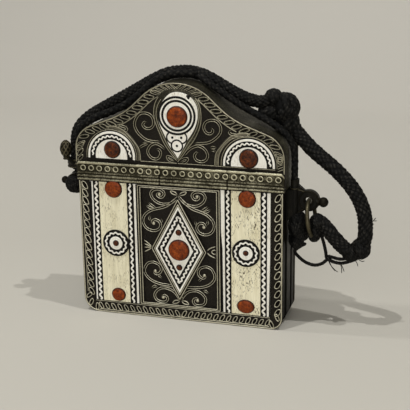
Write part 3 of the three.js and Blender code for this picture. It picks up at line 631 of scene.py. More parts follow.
class EffectGroup:
    """A shared shader effect as a node group with named inputs and outputs."""

    def __init__(self, name: str, inputs: dict[str, str], outputs: dict[str, str]) -> None:
        """Makes the group's sockets.

        Args:
            name: The group's name.
            inputs: Input names with their socket types.
            outputs: Output names with their socket types.
        """
        self.tree = bpy.data.node_groups.new(name, "ShaderNodeTree")
        for direction, sockets in (("INPUT", inputs), ("OUTPUT", outputs)):
            for label, kind in sockets.items():
                self.tree.interface.new_socket(label, in_out=direction, socket_type=f"NodeSocket{kind}")
        self.nodes = Nodes(self.tree)
        self.inputs = self.nodes.add("NodeGroupInput").outputs
        self.outputs = self.nodes.add("NodeGroupOutput").inputs
        self.where = self.nodes.add("ShaderNodeTexCoord").outputs["Object"]

    def give(self, **values: object) -> None:
        """Links the outputs by name."""
        for label, value in values.items():
            self.nodes.put(self.outputs[label], value)


@cache
def tarnish_effect() -> Tree:
    """Old silver: dark in the hollows, rubbed bright on the crests, with blotches and fine scratches.

    Returns:
        The node group.
    """
    g = EffectGroup(
        "tarnish",
        {"Crest": "Float", "Dark": "Color", "Mid": "Color", "Bright": "Color", "Blotch": "Float", "Grit": "Float",
         "Punch": "Float"},
        {"Color": "Color", "Roughness": "Float", "Height": "Float"},
    )
    n = g.nodes
    broad = n.noise(g.where, 95.0, 4.0, 0.6)
    fine = n.noise(g.where, 1300.0, 2.0, 0.6)
    scratch = n.noise(n.stretched(g.where, (2600, 2600, 300), (0, 0.5, 0)), 1.0, 2.0)
    level = n.math("MULTIPLY_ADD", n.math("SUBTRACT", broad, 0.5), g.inputs["Blotch"], g.inputs["Crest"])
    level = n.math("MULTIPLY_ADD", n.math("SUBTRACT", fine, 0.5), g.inputs["Grit"], level)
    low = n.blend(n.spread(level, 0.0, 0.5), g.inputs["Dark"], g.inputs["Mid"])
    colour = n.blend(n.spread(level, 0.45, 1.0), low, g.inputs["Bright"])
    rough = n.math("ADD", n.spread(level, 0.1, 1.0, 0.58, 0.36), n.spread(scratch, 0.3, 0.7, -0.05, 0.08))
    height = n.math("MULTIPLY_ADD", scratch, 0.3, n.math("MULTIPLY", fine, 0.7))
    cell = n.add("ShaderNodeTexVoronoi", {"Vector": g.where, "Scale": 1050.0}).outputs["Distance"]
    height = n.math("MULTIPLY_ADD", n.spread(cell, 0.1, 0.6), g.inputs["Punch"], height)
    g.give(Color=colour, Roughness=rough, Height=height)
    return g.tree


@cache
def grain_effect() -> Tree:
    """Bone: upright grain, warm stains and short dark pores.

    Returns:
        The node group.
    """
    g = EffectGroup(
        "grain",
        {"Light": "Color", "Shade": "Color", "Pore": "Color", "Pores": "Float"},
        {"Color": "Color", "Roughness": "Float", "Height": "Float"},
    )
    n = g.nodes
    streak = n.noise(n.stretched(g.where, (900, 900, 70)), 1.0, 3.0)
    stain = n.noise(g.where, 60.0, 3.0)
    mark = n.noise(n.stretched(g.where, (2900, 2900, 700)), 1.0, 1.0)
    field_noise = n.noise(g.where, 130.0, 2.0)
    base = n.blend(n.math("MULTIPLY", n.spread(streak, 0.35, 0.75), 0.55), g.inputs["Light"], g.inputs["Shade"])
    base = n.blend(n.math("MULTIPLY", n.spread(stain, 0.5, 0.75), 0.6), base, g.inputs["Shade"])
    pore = n.math("MULTIPLY", n.spread(mark, 0.57, 0.65), n.spread(field_noise, 0.36, 0.54))
    pore = n.math("MULTIPLY", pore, g.inputs["Pores"])
    colour = n.blend(pore, base, g.inputs["Pore"])
    rough = n.math("MULTIPLY_ADD", streak, 0.18, 0.34)
    height = n.math("SUBTRACT", n.math("MULTIPLY", streak, 0.4), pore)
    g.give(Color=colour, Roughness=rough, Height=height)
    return g.tree


@cache
def speckle_effect() -> Tree:
    """Coral: clouded orange brown with dark veins and small pits, and painted shade at the foot of each dome.

    Returns:
        The node group.
    """
    g = EffectGroup(
        "speckle",
        {"Crest": "Float", "Base": "Color", "Deep": "Color", "Pale": "Color", "Veins": "Float"},
        {"Color": "Color", "Roughness": "Float", "Height": "Float"},
    )
    n = g.nodes
    cloud = n.noise(g.where, 480.0, 5.0, 0.7)
    vein_noise = n.noise(n.stretched(g.where, (640, 640, 900)), 1.0, 4.0, 0.7)
    pits = n.add("ShaderNodeTexVoronoi", {"Vector": g.where, "Scale": 1500.0}).outputs["Distance"]
    colour = n.blend(n.spread(cloud, 0.35, 0.7), g.inputs["Deep"], g.inputs["Base"])
    colour = n.blend(n.math("MULTIPLY", n.spread(cloud, 0.58, 0.8), 0.5), colour, g.inputs["Pale"])
    vein = n.math("SUBTRACT", 1.0, n.spread(n.math("ABSOLUTE", n.math("SUBTRACT", vein_noise, 0.5)), 0.0, 0.05))
    vein = n.math("MULTIPLY", vein, g.inputs["Veins"])
    # Painted shade: low crest values near a dome's foot turn it to the deep colour
    rim = n.math("MULTIPLY_ADD", n.math("SUBTRACT", cloud, 0.5), 0.5, g.inputs["Crest"])
    colour = n.blend(n.math("MAXIMUM", vein, n.spread(rim, 0.45, 0.15)), colour, g.inputs["Deep"])
    rough = n.math("MULTIPLY_ADD", cloud, 0.2, 0.3)
    height = n.math("SUBTRACT", n.math("MULTIPLY", pits, 0.5), n.math("MULTIPLY", vein, 0.6))
    g.give(Color=colour, Roughness=rough, Height=height)
    return g.tree


@cache
def yarn_effect() -> Tree:
    """Cord: black silk with threads along its strands, greyer on the crests from wear and a painted highlight.

    Returns:
        The node group.
    """
    g = EffectGroup(
        "yarn",
        {"Crest": "Float", "Lay": "Vector", "Deep": "Color", "Worn": "Color"},
        {"Color": "Color", "Height": "Float"},
    )
    n = g.nodes
    thread = n.add(
        "ShaderNodeTexWave",
        {"Vector": n.stretched(g.inputs["Lay"], (1.0, 1.4, 1.0)), "Scale": 9.0, "Distortion": 1.2, "Detail": 2.0},
        bands_direction="DIAGONAL",
    ).outputs["Fac"]
    fluff = n.noise(g.where, 1500.0, 3.0, 0.7)
    patch = n.noise(g.where, 240.0, 3.0, 0.7)
    # Lighter on the strands' crests: partly wear, partly a painted highlight
    light = n.math("MULTIPLY", n.spread(g.inputs["Crest"], 0.35, 1.0), n.spread(fluff, 0.4, 0.7))
    light = n.math("MULTIPLY", light, n.spread(patch, 0.4, 0.65, 0.15, 1.0))
    light = n.math("MULTIPLY", light, n.spread(thread, 0.0, 1.0, 0.55, 1.0))
    g.give(
        Color=n.blend(light, g.inputs["Deep"], g.inputs["Worn"]),
        Height=n.math("MULTIPLY_ADD", thread, 0.6, n.math("MULTIPLY", fluff, 0.5)),
    )
    return g.tree


# Depths of the bumps in metres
METAL_BUMP, PUNCHED_BUMP = 0.00006, 0.0002
BONE_BUMP, CORAL_BUMP, YARN_BUMP = 0.00005, 0.0001, 0.00016
BUMP_STRENGTH = 0.8


class Finish:
    """A material that is made once and then reused."""

    made: dict[str, bpy.types.Material] = {}
    name: str

    def material(self) -> bpy.types.Material:
        """The finish's material."""
        if self.name not in Finish.made:
            material = bpy.data.materials.new(self.name)
            material.use_nodes = True
            material.node_tree.nodes.clear()
            nodes = Nodes(material.node_tree)
            shader = nodes.add("ShaderNodeBsdfPrincipled")
            output = nodes.add("ShaderNodeOutputMaterial")
            nodes.put(output.inputs["Surface"], shader.outputs[0])
            self.dress(nodes, shader)
            Finish.made[self.name] = material
        return Finish.made[self.name]

    @staticmethod
    def crest(nodes: Nodes) -> Socket:
        """The piece's crest values."""
        return nodes.add("ShaderNodeAttribute", attribute_name="crest").outputs["Fac"]

    def dress(self, nodes: Nodes, shader: Node) -> None:
        """Sets the shader's sockets.

        Args:
            nodes: The material's nodes.
            shader: Its shader.
        """
        raise NotImplementedError

    def effect(self, nodes: Nodes, shader: Node, tree: Tree, values: dict[str, object], depth: float) -> None:
        """Puts an effect group in the material and links its outputs to the shader.

        Args:
            nodes: The material's nodes.
            shader: Its shader.
            tree: The effect's group.
            values: The group's inputs.
            depth: Depth of its bumps in metres.
        """
        group = nodes.add("ShaderNodeGroup", node_tree=tree)
        for key, value in values.items():
            nodes.put(group.inputs[key], value)
        for label, socket in (("Color", "Base Color"), ("Roughness", "Roughness")):
            if label in group.outputs:
                nodes.put(shader.inputs[socket], group.outputs[label])
        height = {"Height": group.outputs["Height"], "Distance": depth, "Strength": BUMP_STRENGTH}
        bump = nodes.add("ShaderNodeBump", height)
        nodes.put(shader.inputs["Normal"], bump.outputs[0])


@dataclass(frozen=True)
class MetalFinish(Finish):
    """Old silver. relief reads the piece's crest values; without it level stands for them."""

    name: str
    dark: Colour
    mid: Colour
    bright: Colour
    level: float = 0.5
    relief: bool = True
    blotch: float = 0.5
    grit: float = 0.35
    metallic: float = 0.75
    punch: float = 0.0

    def dress(self, nodes: Nodes, shader: Node) -> None:
        """Sets the shader's sockets.

        Args:
            nodes: The material's nodes.
            shader: Its shader.
        """
        shader.inputs["Metallic"].default_value = self.metallic
        shader.inputs["Specular IOR Level"].default_value = 0.25
        values = {
            "Crest": self.crest(nodes) if self.relief else self.level,
            "Dark": self.dark, "Mid": self.mid, "Bright": self.bright,
            "Blotch": self.blotch, "Grit": self.grit, "Punch": self.punch,
        }
        self.effect(nodes, shader, tarnish_effect(), values, PUNCHED_BUMP if self.punch else METAL_BUMP)


@dataclass(frozen=True)
class BoneFinish(Finish):
    """Polished bone with grain and pores, or the black filling."""

    name: str
    light: Colour
    shade: Colour
    pore: Colour
    pores: float
    gloss: float = 0.4

    def dress(self, nodes: Nodes, shader: Node) -> None:
        """Sets the shader's sockets.

        Args:
            nodes: The material's nodes.
            shader: Its shader.
        """
        shader.inputs["Specular IOR Level"].default_value = self.gloss
        values = {"Light": self.light, "Shade": self.shade, "Pore": self.pore, "Pores": self.pores}
        self.effect(nodes, shader, grain_effect(), values, BONE_BUMP)


@dataclass(frozen=True)
class CoralFinish(Finish):
    """Half-polished coral."""

    name: str
    base: Colour
    deep: Colour
    pale: Colour
    veins: float

    def dress(self, nodes: Nodes, shader: Node) -> None:
        """Sets the shader's sockets.

        Args:
            nodes: The material's nodes.
            shader: Its shader.
        """
        shader.inputs["Specular IOR Level"].default_value = 0.2
        values = {
            "Crest": self.crest(nodes),
            "Base": self.base, "Deep": self.deep, "Pale": self.pale, "Veins": self.veins,
        }
        self.effect(nodes, shader, speckle_effect(), values, CORAL_BUMP)


@dataclass(frozen=True)
class CordFinish(Finish):
    """Black braided silk."""

    name: str
    deep: Colour
    worn: Colour

    def dress(self, nodes: Nodes, shader: Node) -> None:
        """Sets the shader's sockets.

        Args:
            nodes: The material's nodes.
            shader: Its shader.
        """
        shader.inputs["Roughness"].default_value = 0.7
        shader.inputs["Specular IOR Level"].default_value = 0.14
        lay = nodes.add("ShaderNodeUVMap", uv_map="lay").outputs[0]
        values = {"Crest": self.crest(nodes), "Lay": lay, "Deep": self.deep, "Worn": self.worn}
        self.effect(nodes, shader, yarn_effect(), values, YARN_BUMP)


def srgb(red: float, green: float, blue: float) -> Colour:
    """A colour written as on a screen, 0 to 255, as the linear values that nodes take."""
    shares = (value / 255 for value in (red, green, blue))
    return tuple(v / 12.92 if v <= 0.04045 else ((v + 0.055) / 1.055) ** 2.4 for v in shares)


RELIEF = MetalFinish("relief_silver", srgb(9, 7, 5), srgb(58, 54, 41), srgb(214, 208, 184), grit=0.5)
LID_RELIEF = MetalFinish("lid_relief_silver", srgb(9, 7, 5), srgb(52, 48, 36), srgb(176, 170, 146), grit=0.6)
DARK_RELIEF = MetalFinish("dark_relief_silver", srgb(7, 6, 4), srgb(34, 30, 21), srgb(98, 91, 70), blotch=0.7)
BAND = MetalFinish("band_silver", srgb(8, 7, 4), srgb(62, 58, 42), srgb(204, 198, 168), blotch=0.8, grit=0.8)
FRAME = MetalFinish(
    "frame_silver", srgb(24, 22, 16), srgb(98, 93, 78), srgb(150, 145, 128), relief=False, grit=0.5,
)
GROUND = MetalFinish(
    "punched_ground", srgb(10, 8, 6), srgb(33, 28, 20), srgb(88, 78, 62), level=0.3, relief=False,
    blotch=0.5, grit=0.6, metallic=0.4, punch=1.0,
)
PLATE = MetalFinish("plate_silver", srgb(40, 36, 30), srgb(108, 104, 90), srgb(176, 171, 154), relief=False)
# Pitted, blotched silver of the lid's rim, its mid tone set darker as painted shade for the shaded sides of the lid
SHADED_RIM = MetalFinish(
    "shaded_rim_silver", srgb(10, 9, 6), srgb(58, 55, 42), srgb(140, 136, 114), level=0.4, relief=False,
    blotch=0.8, grit=1.1, metallic=0.5,
)
# Painted shade: these colours are set darker to stand for the shade on the case's side faces, over their real dark
# tarnish
SHADED_DARK = MetalFinish(
    "dark_silver", srgb(6, 5, 3), srgb(20, 18, 12), srgb(62, 56, 42), level=0.38, relief=False,
    blotch=0.9, metallic=0.5,
)
BACK = MetalFinish(
    "back_silver", srgb(20, 18, 13), srgb(62, 58, 47), srgb(136, 131, 112), level=0.45, relief=False, blotch=0.45,
)
BONE = BoneFinish("cream_bone", srgb(244, 237, 206), srgb(184, 173, 134), srgb(84, 66, 42), 0.5)
PITTED_BONE = BoneFinish("pitted_bone", srgb(248, 241, 210), srgb(204, 192, 150), srgb(66, 52, 34), 1.0)
WHITE = BoneFinish("white_bone", srgb(248, 245, 234), srgb(224, 218, 200), srgb(150, 132, 100), 0.4)
BLACK = BoneFinish("black_filling", srgb(13, 12, 9), srgb(6, 5, 4), srgb(46, 40, 30), 0.3, gloss=0.15)
CORAL = CoralFinish("orange_coral", srgb(170, 74, 14), srgb(78, 28, 3), srgb(196, 118, 46), 0.7)
DARK_CORAL = CoralFinish("brown_coral", srgb(124, 58, 14), srgb(34, 13, 3), srgb(164, 94, 40), 1.0)
# The second colour is wear and also the painted highlight on the strands' crests
SILK = CordFinish("black_silk", srgb(5, 5, 4), srgb(92, 88, 80))


# Geometry node trees


class PathTree:
    """A geometry node tree that works along flat curves on the face."""

    def __init__(self, name: str, inputs: dict[str, str]) -> None:
        """Makes the tree's sockets.

        Args:
            name: The tree's name.
            inputs: Input names with their socket types.
        """
        self.tree = bpy.data.node_groups.new(name, "GeometryNodeTree")
        socket = self.tree.interface.new_socket
        socket("Curves", in_out="INPUT", socket_type="NodeSocketGeometry")
        for label, kind in inputs.items():
            socket(label, in_out="INPUT", socket_type=f"NodeSocket{kind}")
        socket("Material", in_out="INPUT", socket_type="NodeSocketMaterial")
        socket("Mesh", in_out="OUTPUT", socket_type="NodeSocketGeometry")
        self.nodes = Nodes(self.tree)
        self.inputs = self.nodes.add("NodeGroupInput").outputs
        self.end = self.nodes.add("NodeGroupOutput").inputs[0]

    def evened(self, step: object) -> Socket:
        """Spaces the curves' points evenly and turns the curves to the front.

        Args:
            step: Distance between points in metres.

        Returns:
            The curves.
        """
        n = self.nodes
        spaced = n.add("GeometryNodeResampleCurve", {"Curve": self.inputs["Curves"]}, mode="LENGTH")
        n.put(spaced.inputs["Length"], step)
        facing = n.add("GeometryNodeSetCurveNormal", {"Curve": spaced.outputs[0]}, mode="FREE")
        n.put(facing.inputs["Normal"], (0, -1, 0))
        return facing.outputs[0]

    def source(self, label: str) -> Socket:
        """Geometry of the object in an input."""
        return self.nodes.add("GeometryNodeObjectInfo", {"Object": self.inputs[label]}).outputs["Geometry"]

    def swept(self, curve: object, profile: object) -> Socket:
        """A closed bar with the profile, along the curve."""
        radius = self.nodes.add("GeometryNodeInputRadius").outputs[0]
        inputs = {"Curve": curve, "Profile Curve": profile, "Scale": radius, "Fill Caps": True}
        return self.nodes.add("GeometryNodeCurveToMesh", inputs).outputs[0]

    def close(self, mesh: object) -> Tree:
        """Ends the tree in Realize Instances and Set Material.

        Args:
            mesh: What the tree has made.

        Returns:
            The finished tree.
        """
        n = self.nodes
        real = n.add("GeometryNodeRealizeInstances", {"Geometry": mesh}).outputs[0]
        painted = n.add("GeometryNodeSetMaterial", {"Geometry": real, "Material": self.inputs["Material"]})
        n.put(self.end, painted.outputs[0])
        return self.tree


def ridge_tree() -> Tree:
    """Sweeps a profile along curves and stores crests by how far each point stands out."""
    t = PathTree("ridge_along", {"Profile": "Object", "Step": "Float", "Foot": "Float", "Rise": "Float"})
    n = t.nodes
    bar = t.swept(t.evened(t.inputs["Step"]), t.source("Profile"))
    y = n.add("ShaderNodeSeparateXYZ", {0: n.add("GeometryNodeInputPosition").outputs[0]}).outputs["Y"]
    crest = n.math("DIVIDE", n.math("SUBTRACT", t.inputs["Foot"], y), t.inputs["Rise"])
    stored = n.add("GeometryNodeStoreNamedAttribute", {"Geometry": bar, "Name": "crest"}, data_type="FLOAT")
    n.put(next(s for s in stored.inputs if s.name == "Value" and s.enabled), crest)
    return t.close(stored.outputs[0])


def row_tree() -> Tree:
    """Sets copies of a cell along curves, turned to them by a lean that changes along the way."""
    t = PathTree(
        "row_along",
        {
            "Cell": "Object",
            "Pitch": "Float",
            "Follow": "Float",
            "Lean Start": "Float",
            "Lean End": "Float",
            "Size End": "Float",
            "Jitter": "Float",
            "Seed": "Int",
        },
    )
    n = t.nodes
    curve = t.evened(t.inputs["Pitch"])
    share = n.add("GeometryNodeSplineParameter").outputs["Factor"]
    tangent = n.add("GeometryNodeInputTangent").outputs[0]
    aim = n.add(
        "FunctionNodeAlignRotationToVector",
        {"Vector": tangent, "Factor": t.inputs["Follow"]},
        axis="X",
        pivot_axis="Y",
    )
    spread = n.math("SUBTRACT", t.inputs["Lean End"], t.inputs["Lean Start"])
    lean = n.math("MULTIPLY_ADD", spread, share, t.inputs["Lean Start"])
    turn = n.add("FunctionNodeAxisAngleToRotation", {"Axis": (0, -1, 0), "Angle": lean})
    whole = n.add(
        "FunctionNodeRotateRotation",
        {"Rotation": aim.outputs[0], "Rotate By": turn.outputs[0]},
        rotation_space="LOCAL",
    )
    size = n.math("MULTIPLY_ADD", n.math("SUBTRACT", t.inputs["Size End"], 1.0), share, 1.0)
    chance = n.add("FunctionNodeRandomValue", {"Seed": t.inputs["Seed"]}, data_type="FLOAT")
    low, high = [s for s in chance.inputs if s.name in ("Min", "Max") and s.enabled]
    low.default_value, high.default_value = -1.0, 1.0
    value = next(s for s in chance.outputs if s.enabled)
    size = n.math("ADD", size, n.math("MULTIPLY", value, t.inputs["Jitter"]))
    copies = n.add(
        "GeometryNodeInstanceOnPoints",
        {"Points": curve, "Instance": t.source("Cell"), "Rotation": whole.outputs[0]},
    )
    n.put(copies.inputs["Scale"], n.add("ShaderNodeCombineXYZ", {0: size, 1: 1.0, 2: size}).outputs[0])
    return t.close(copies.outputs[0])


def wave_tree() -> Tree:
    """Sweeps a profile along curves that swing from side to side."""
    t = PathTree("wave_along", {"Profile": "Object", "Step": "Float", "Pitch": "Float", "Swing": "Float"})
    n = t.nodes
    curve = t.evened(t.inputs["Step"])
    length = n.add("GeometryNodeSplineParameter").outputs["Length"]
    tangent = n.add("GeometryNodeInputTangent").outputs[0]
    across = n.add("ShaderNodeVectorMath", {0: tangent, 1: (0, -1, 0)}, operation="CROSS_PRODUCT").outputs[0]
    phase = n.math("MULTIPLY", n.math("DIVIDE", length, t.inputs["Pitch"]), TAU)
    swing = n.math("MULTIPLY", n.math("SINE", phase), t.inputs["Swing"])
    offset = n.add("ShaderNodeVectorMath", {0: across, "Scale": swing}, operation="SCALE").outputs[0]
    moved = n.add("GeometryNodeSetPosition", {"Geometry": curve, "Offset": offset}).outputs[0]
    return t.close(t.swept(moved, t.source("Profile")))


class PathWork:
    """Runs the path trees and turns their results into plain meshes."""

    def __init__(self) -> None:
        """Builds the three trees."""
        self.ridge = ridge_tree()
        self.row = row_tree()
        self.wave = wave_tree()

    @staticmethod
    def helper(rows: Iterable[Array], closed: bool) -> Item:
        """A helper object with curves of straight pieces.

        Args:
            rows: An array of x, y, z and weight for each curve.
            closed: Whether the curves are closed.

        Returns:
            The helper.
        """
        data = bpy.data.curves.new("helper_curve", "CURVE")
        data.dimensions = "3D"
        for row in rows:
            spline = data.splines.new("POLY")
            spline.points.add(len(row) - 1)
            spline.points.foreach_set("co", row.ravel())
            spline.use_cyclic_u = closed
        made = bpy.data.objects.new("helper_curve", data)
        bpy.context.collection.objects.link(made)
        return made

    @staticmethod
    def curves(lines: Iterable[Array], y: float, closed: bool = False, taper: float = 0.0) -> Item:
        """A helper object with flat curves on the face.

        Args:
            lines: Lines of x and z in millimetres.
            y: Their y.
            closed: Whether they are closed; then no line repeats its first point.
            taper: Length in millimetres over which the open ends grow thin.

        Returns:
            The helper.
        """
        flats = [np.array(line, float) for line in lines]
        rows = [np.column_stack([on_face(flat, y) * MM, np.ones(len(flat))]) for flat in flats]
        made = PathWork.helper(rows, closed)
        if taper:
            for spline, flat in zip(made.data.splines, flats):
                along = distances(flat)
                near = np.minimum(along, along[-1] - along) / taper
                spline.points.foreach_set("radius", np.clip(THIN_END + (1 - THIN_END) * near, 0, 1))
        return made

    @staticmethod
    def profile(outline: Flat) -> Item:
        """A helper with a closed profile: height over the face and place across, in millimetres."""
        return PathWork.helper([np.array([(h * MM, w * MM, 0, 1) for h, w in outline], float)], True)

    @staticmethod
    def run(tree: Tree, base: Item, values: dict[str, object], finish: Finish) -> bpy.types.Mesh:
        """Evaluates a tree on a helper and returns a plain mesh.

        Args:
            tree: The tree.
            base: The helper with the curves.
            values: The tree's inputs by name; lengths are metres.
            finish: The finish that the tree sets.

        Returns:
            The mesh. The helpers are deleted.
        """
        modifier = base.modifiers.new("path", "NODES")
        modifier.node_group = tree
        sockets = {s.name: s.identifier for s in tree.interface.items_tree if s.in_out == "INPUT"}
        helpers = [base]
        for label, value in {**values, "Material": finish.material()}.items():
            modifier[sockets[label]] = value
            if isinstance(value, Item):
                helpers.append(value)
        graph = bpy.context.evaluated_depsgraph_get()
        mesh = bpy.data.meshes.new_from_object(base.evaluated_get(graph))
        base.modifiers.clear()
        for helper in helpers:
            bpy.data.objects.remove(helper)
        return mesh


def shape_of(mesh: bpy.types.Mesh) -> Shape:
    """Reads a plain mesh back as a shape in millimetres.

    Args:
        mesh: The mesh, in metres.

    Returns:
        The shape, with its crest values.
    """
    points = np.empty(len(mesh.vertices) * 3)
    mesh.vertices.foreach_get("co", points)
    crest = np.full(len(mesh.vertices), PLAIN_CREST)
    stored = mesh.attributes.get("crest")
    if stored is not None:
        values = np.empty(len(mesh.vertices), np.float32)
        stored.data.foreach_get("value", values)
        crest = values.astype(float)
    faces = [tuple(p.vertices) for p in mesh.polygons]
    return Shape(points.reshape(-1, 3) / MM, faces, crest)


WIRE: Flat = (
    (-0.15, -0.78), (0.26, -0.77), (0.44, -0.68), (0.44, -0.5), (0.2, -0.38), (0.02, -0.3), (0.0, 0.0),
    (0.02, 0.3), (0.2, 0.38), (0.44, 0.5), (0.44, 0.68), (0.26, 0.77), (-0.15, 0.78),
)
BEAD: Flat = ((-0.15, -0.46), (0.15, -0.44), (0.42, -0.26), (0.5, 0.0), (0.42, 0.26), (0.15, 0.44), (-0.15, 0.46))
THREAD: Flat = ((-0.12, -0.26), (0.1, -0.26), (0.28, -0.15), (0.32, 0.0), (0.28, 0.15), (0.1, 0.26), (-0.12, 0.26))
RIBBON_ROOT = -0.1
RIDGE_STEP, WAVE_STEP = 0.45, 0.3
WAVE_HEIGHT = 0.14


def scaled(profile: Flat, height: float, width: float) -> Flat:
    """A profile times height and width."""
    return [(h * height, w * width) for h, w in profile]


def ribbon(width: float, height: float) -> Flat:
    """A flat profile with softened edges."""
    half = width / 2
    right = [(height, half * 0.8), (height * 0.6, half), (RIBBON_ROOT, half)]
    return [(h, -w) for h, w in reversed(right)] + right


class Ornament:
    """Makes the ridges, rows and waves on the face."""

    def __init__(self) -> None:
        """Builds the path trees."""
        self.work = PathWork()

    def ridges(
        self, lines: Iterable[Array], y: float, profile: Flat, closed: bool = False, taper: float = 0.0
    ) -> Shape:
        """Ridges along lines on the face.

        Args:
            lines: Lines of x and z.
            y: y of the face that they stand on.
            profile: Height and place across.
            closed: Whether the lines are closed.
            taper: Length over which open ends grow thin.

        Returns:
            The ridges.
        """
        rise = max(h for h, _ in profile)
        profile_item = self.work.profile(profile)
        values = {"Profile": profile_item, "Step": RIDGE_STEP * MM, "Foot": y * MM, "Rise": rise * MM}
        base = self.work.curves(lines, y, closed, taper)
        return shape_of(self.work.run(self.work.ridge, base, values, RELIEF))

    def row(self, line: Array, y: float, cell: Shape, pitch: float, **lean: float) -> Shape:
        """Copies of a cell along a line on the face.

        Args:
            line: Line of x and z.
            y: y of the face.
            cell: The cell round the origin, its long axis in x.
            pitch: Distance between cells.
            lean: follow, start, end (radians), size and jitter.

        Returns:
            The row.
        """
        seedling = build("helper_cell", cell, RELIEF)
        values = {
            "Cell": seedling,
            "Pitch": pitch * MM,
            "Follow": lean.get("follow", 1.0),
            "Lean Start": lean.get("start", 0.0),
            "Lean End": lean.get("end", lean.get("start", 0.0)),
            "Size End": lean.get("size", 1.0),
            "Jitter": lean.get("jitter", 0.05),
            "Seed": int(lean.get("seed", 3)),
        }
        return shape_of(self.work.run(self.work.row, self.work.curves([line], y), values, RELIEF))

    def wave(
        self, line: Array, y: float, width: float, pitch: float, swing: float, closed: bool = False
    ) -> Shape:
        """A flat band that swings along a line on the face.

        Args:
            line: Line of x and z.
            y: y of the face.
            width: The band's width.
            pitch: Length of one wave.
            swing: How far it swings to each side.
            closed: Whether the line is closed.

        Returns:
            The band.
        """
        values = {
            "Profile": self.work.profile(ribbon(width, WAVE_HEIGHT)),
            "Step": WAVE_STEP * MM,
            "Pitch": pitch * MM,
            "Swing": swing * MM,
        }
        return shape_of(self.work.run(self.work.wave, self.work.curves([line], y, closed), values, WHITE))


def struck_cell(
    levels: Route, size: Place, rise: float, steps: int, square: float = 1.0, shear: float = 0.0
) -> Shape:
    """A cell of ornament built from outlines inside each other.

    Args:
        levels: How far an outline lies inside the first, its height and its crest value.
        size: The cell's half sizes in x and z.
        rise: Height at 1.
        steps: Points round it.
        square: 1 for an oval, less for squarer corners.
        shear: How far it leans in x for each millimetre of z.

    Returns:
        The cell.
    """
    angle = np.linspace(0, TAU, steps, endpoint=False) + math.pi / steps
    cos, sin = np.cos(angle), np.sin(angle)
    unit = np.stack([np.sign(cos) * np.abs(cos) ** square, np.sign(sin) * np.abs(sin) ** square], 1)
    rings = []
    for inset, height, _ in levels:
        flat = unit * np.maximum(np.array(size) - inset, 0.05)
        rings.append(on_face(flat + flat[:, 1:] * np.array([shear, 0]), -height * rise))
    return capped(rings, [crest for _, _, crest in levels])


OPEN_LEAF = [(0.0, -0.2, 0.1), (0.1, 0.9, 0.85), (0.45, 1.0, 1.0), (0.65, 0.1, 0.0), (1.2, 0.1, 0.0)]
FILLED_LEAF = [
    (0.0, -0.2, 0.1), (0.1, 0.9, 0.8), (0.42, 1.0, 0.95), (0.6, 0.4, 0.2), (0.95, 0.5, 0.45), (1.25, 0.05, 0.0),
]
STRUCK_RING = [
    (0.0, -0.3, 0.3), (0.08, 0.15, 0.0), (0.45, 0.1, 0.0), (0.58, 0.8, 0.85), (0.9, 1.0, 1.0), (1.2, 0.7, 0.6),
    (1.38, 0.0, 0.0),
]
LEAF_RISE, LEAF_STEPS, LEAF_SQUARE = 0.42, 12, 0.8
BODY_LEAF = struck_cell(OPEN_LEAF, (1.7, 2.5), LEAF_RISE, LEAF_STEPS, LEAF_SQUARE, 0.42)
LOW_LEAF = struck_cell(OPEN_LEAF, (1.35, 2.2), LEAF_RISE, LEAF_STEPS, LEAF_SQUARE, 0.45)
LID_LEAF = struck_cell(FILLED_LEAF, (1.8, 2.4), LEAF_RISE, LEAF_STEPS, LEAF_SQUARE, 0.85)
CAP_LEAF = struck_cell(OPEN_LEAF, (0.95, 2.4), LEAF_RISE, LEAF_STEPS, LEAF_SQUARE, 1.25)
EYELET = struck_cell(STRUCK_RING, (2.25, 2.25), 0.36, 18)


def circle_line(centre: Place, radius: float, count: int, lobes: int = 0, depth: float = 0.0) -> Array:
    """A circle on the face, with waves if wanted.

    Args:
        centre: Its centre.
        radius: Its radius.
        count: Number of points.
        lobes: Number of waves.
        depth: How far they swing.

    Returns:
        The points, not repeating the first.
    """
    a = np.linspace(0, TAU, count, endpoint=False)
    r = radius + depth * np.sin(lobes * a)
    return np.stack([centre[0] + r * np.cos(a), centre[1] + r * np.sin(a)], 1)


# Width of the painted shade in the gap round each coral dome
GAP_SHADE_WIDTH = 0.34


def coral_dome(centre: Place, size: Place, seat: float, lumps: float, seed: float, corners: int = 0) -> Shape:
    """A low polished dome with a slightly uneven outline.

    Args:
        centre: Its centre on the face.
        size: Its half sizes in x and z.
        seat: y that it stands on.
        lumps: How uneven it is.
        seed: Where its unevenness starts.
        corners: Number of blunt corners, or 0.

    Returns:
        The dome.
    """
    columns, rows = 48, 9
    a = np.linspace(0, TAU, columns, endpoint=False)
    # Three slow waves make the outline uneven
    waves = np.sin(3 * a + seed) * 0.5 + np.sin(5 * a + 2.3 * seed) * 0.3 + np.sin(2 * a - seed) * 0.4
    wobble = 1 + lumps * waves
    if corners:
        wobble *= 1 + 0.035 * np.cos(corners * a + seed)
    rise = 0.5 + 0.22 * min(size)
    levels = [(1.0, seat + 0.15)]
    for t in np.linspace(0, math.pi / 2, rows):
        levels.append((math.cos(t * 0.93) ** 0.55, seat - rise * (0.3 + 0.7 * math.sin(t))))
    rings = []
    for share, y in levels:
        x = centre[0] + size[0] * wobble * share * np.cos(a)
        z = centre[1] + size[1] * wobble * share * np.sin(a)
        dent = 0.6 * lumps * np.sin(x * 1.7 + seed) * np.sin(z * 1.9 - seed) * (share < 0.95)
        rings.append(np.stack([x, y + dent, z], 1))
    return capped(rings, [min(1.0, (1 - share) / 0.3) for share, _ in levels])


def coral_seat(centre: Place, size: Place, seat: float) -> Shape:
    """A dark disc painted as the shade in the gap round the foot of a coral dome with the same centre, half sizes
    and seat.
    """
    outline = np.array(centre) + circle_line((0, 0), 1.0, 48) * (np.array(size) + GAP_SHADE_WIDTH)
    return disc(outline, seat - 0.05, seat + 0.1, 0.04)


# The studio


@dataclass(frozen=True)
class Lamp:
    """A square lamp: its direction from the case, its size in metres and its power in watts."""

    name: str
    direction: Spot
    size: float
    power: float


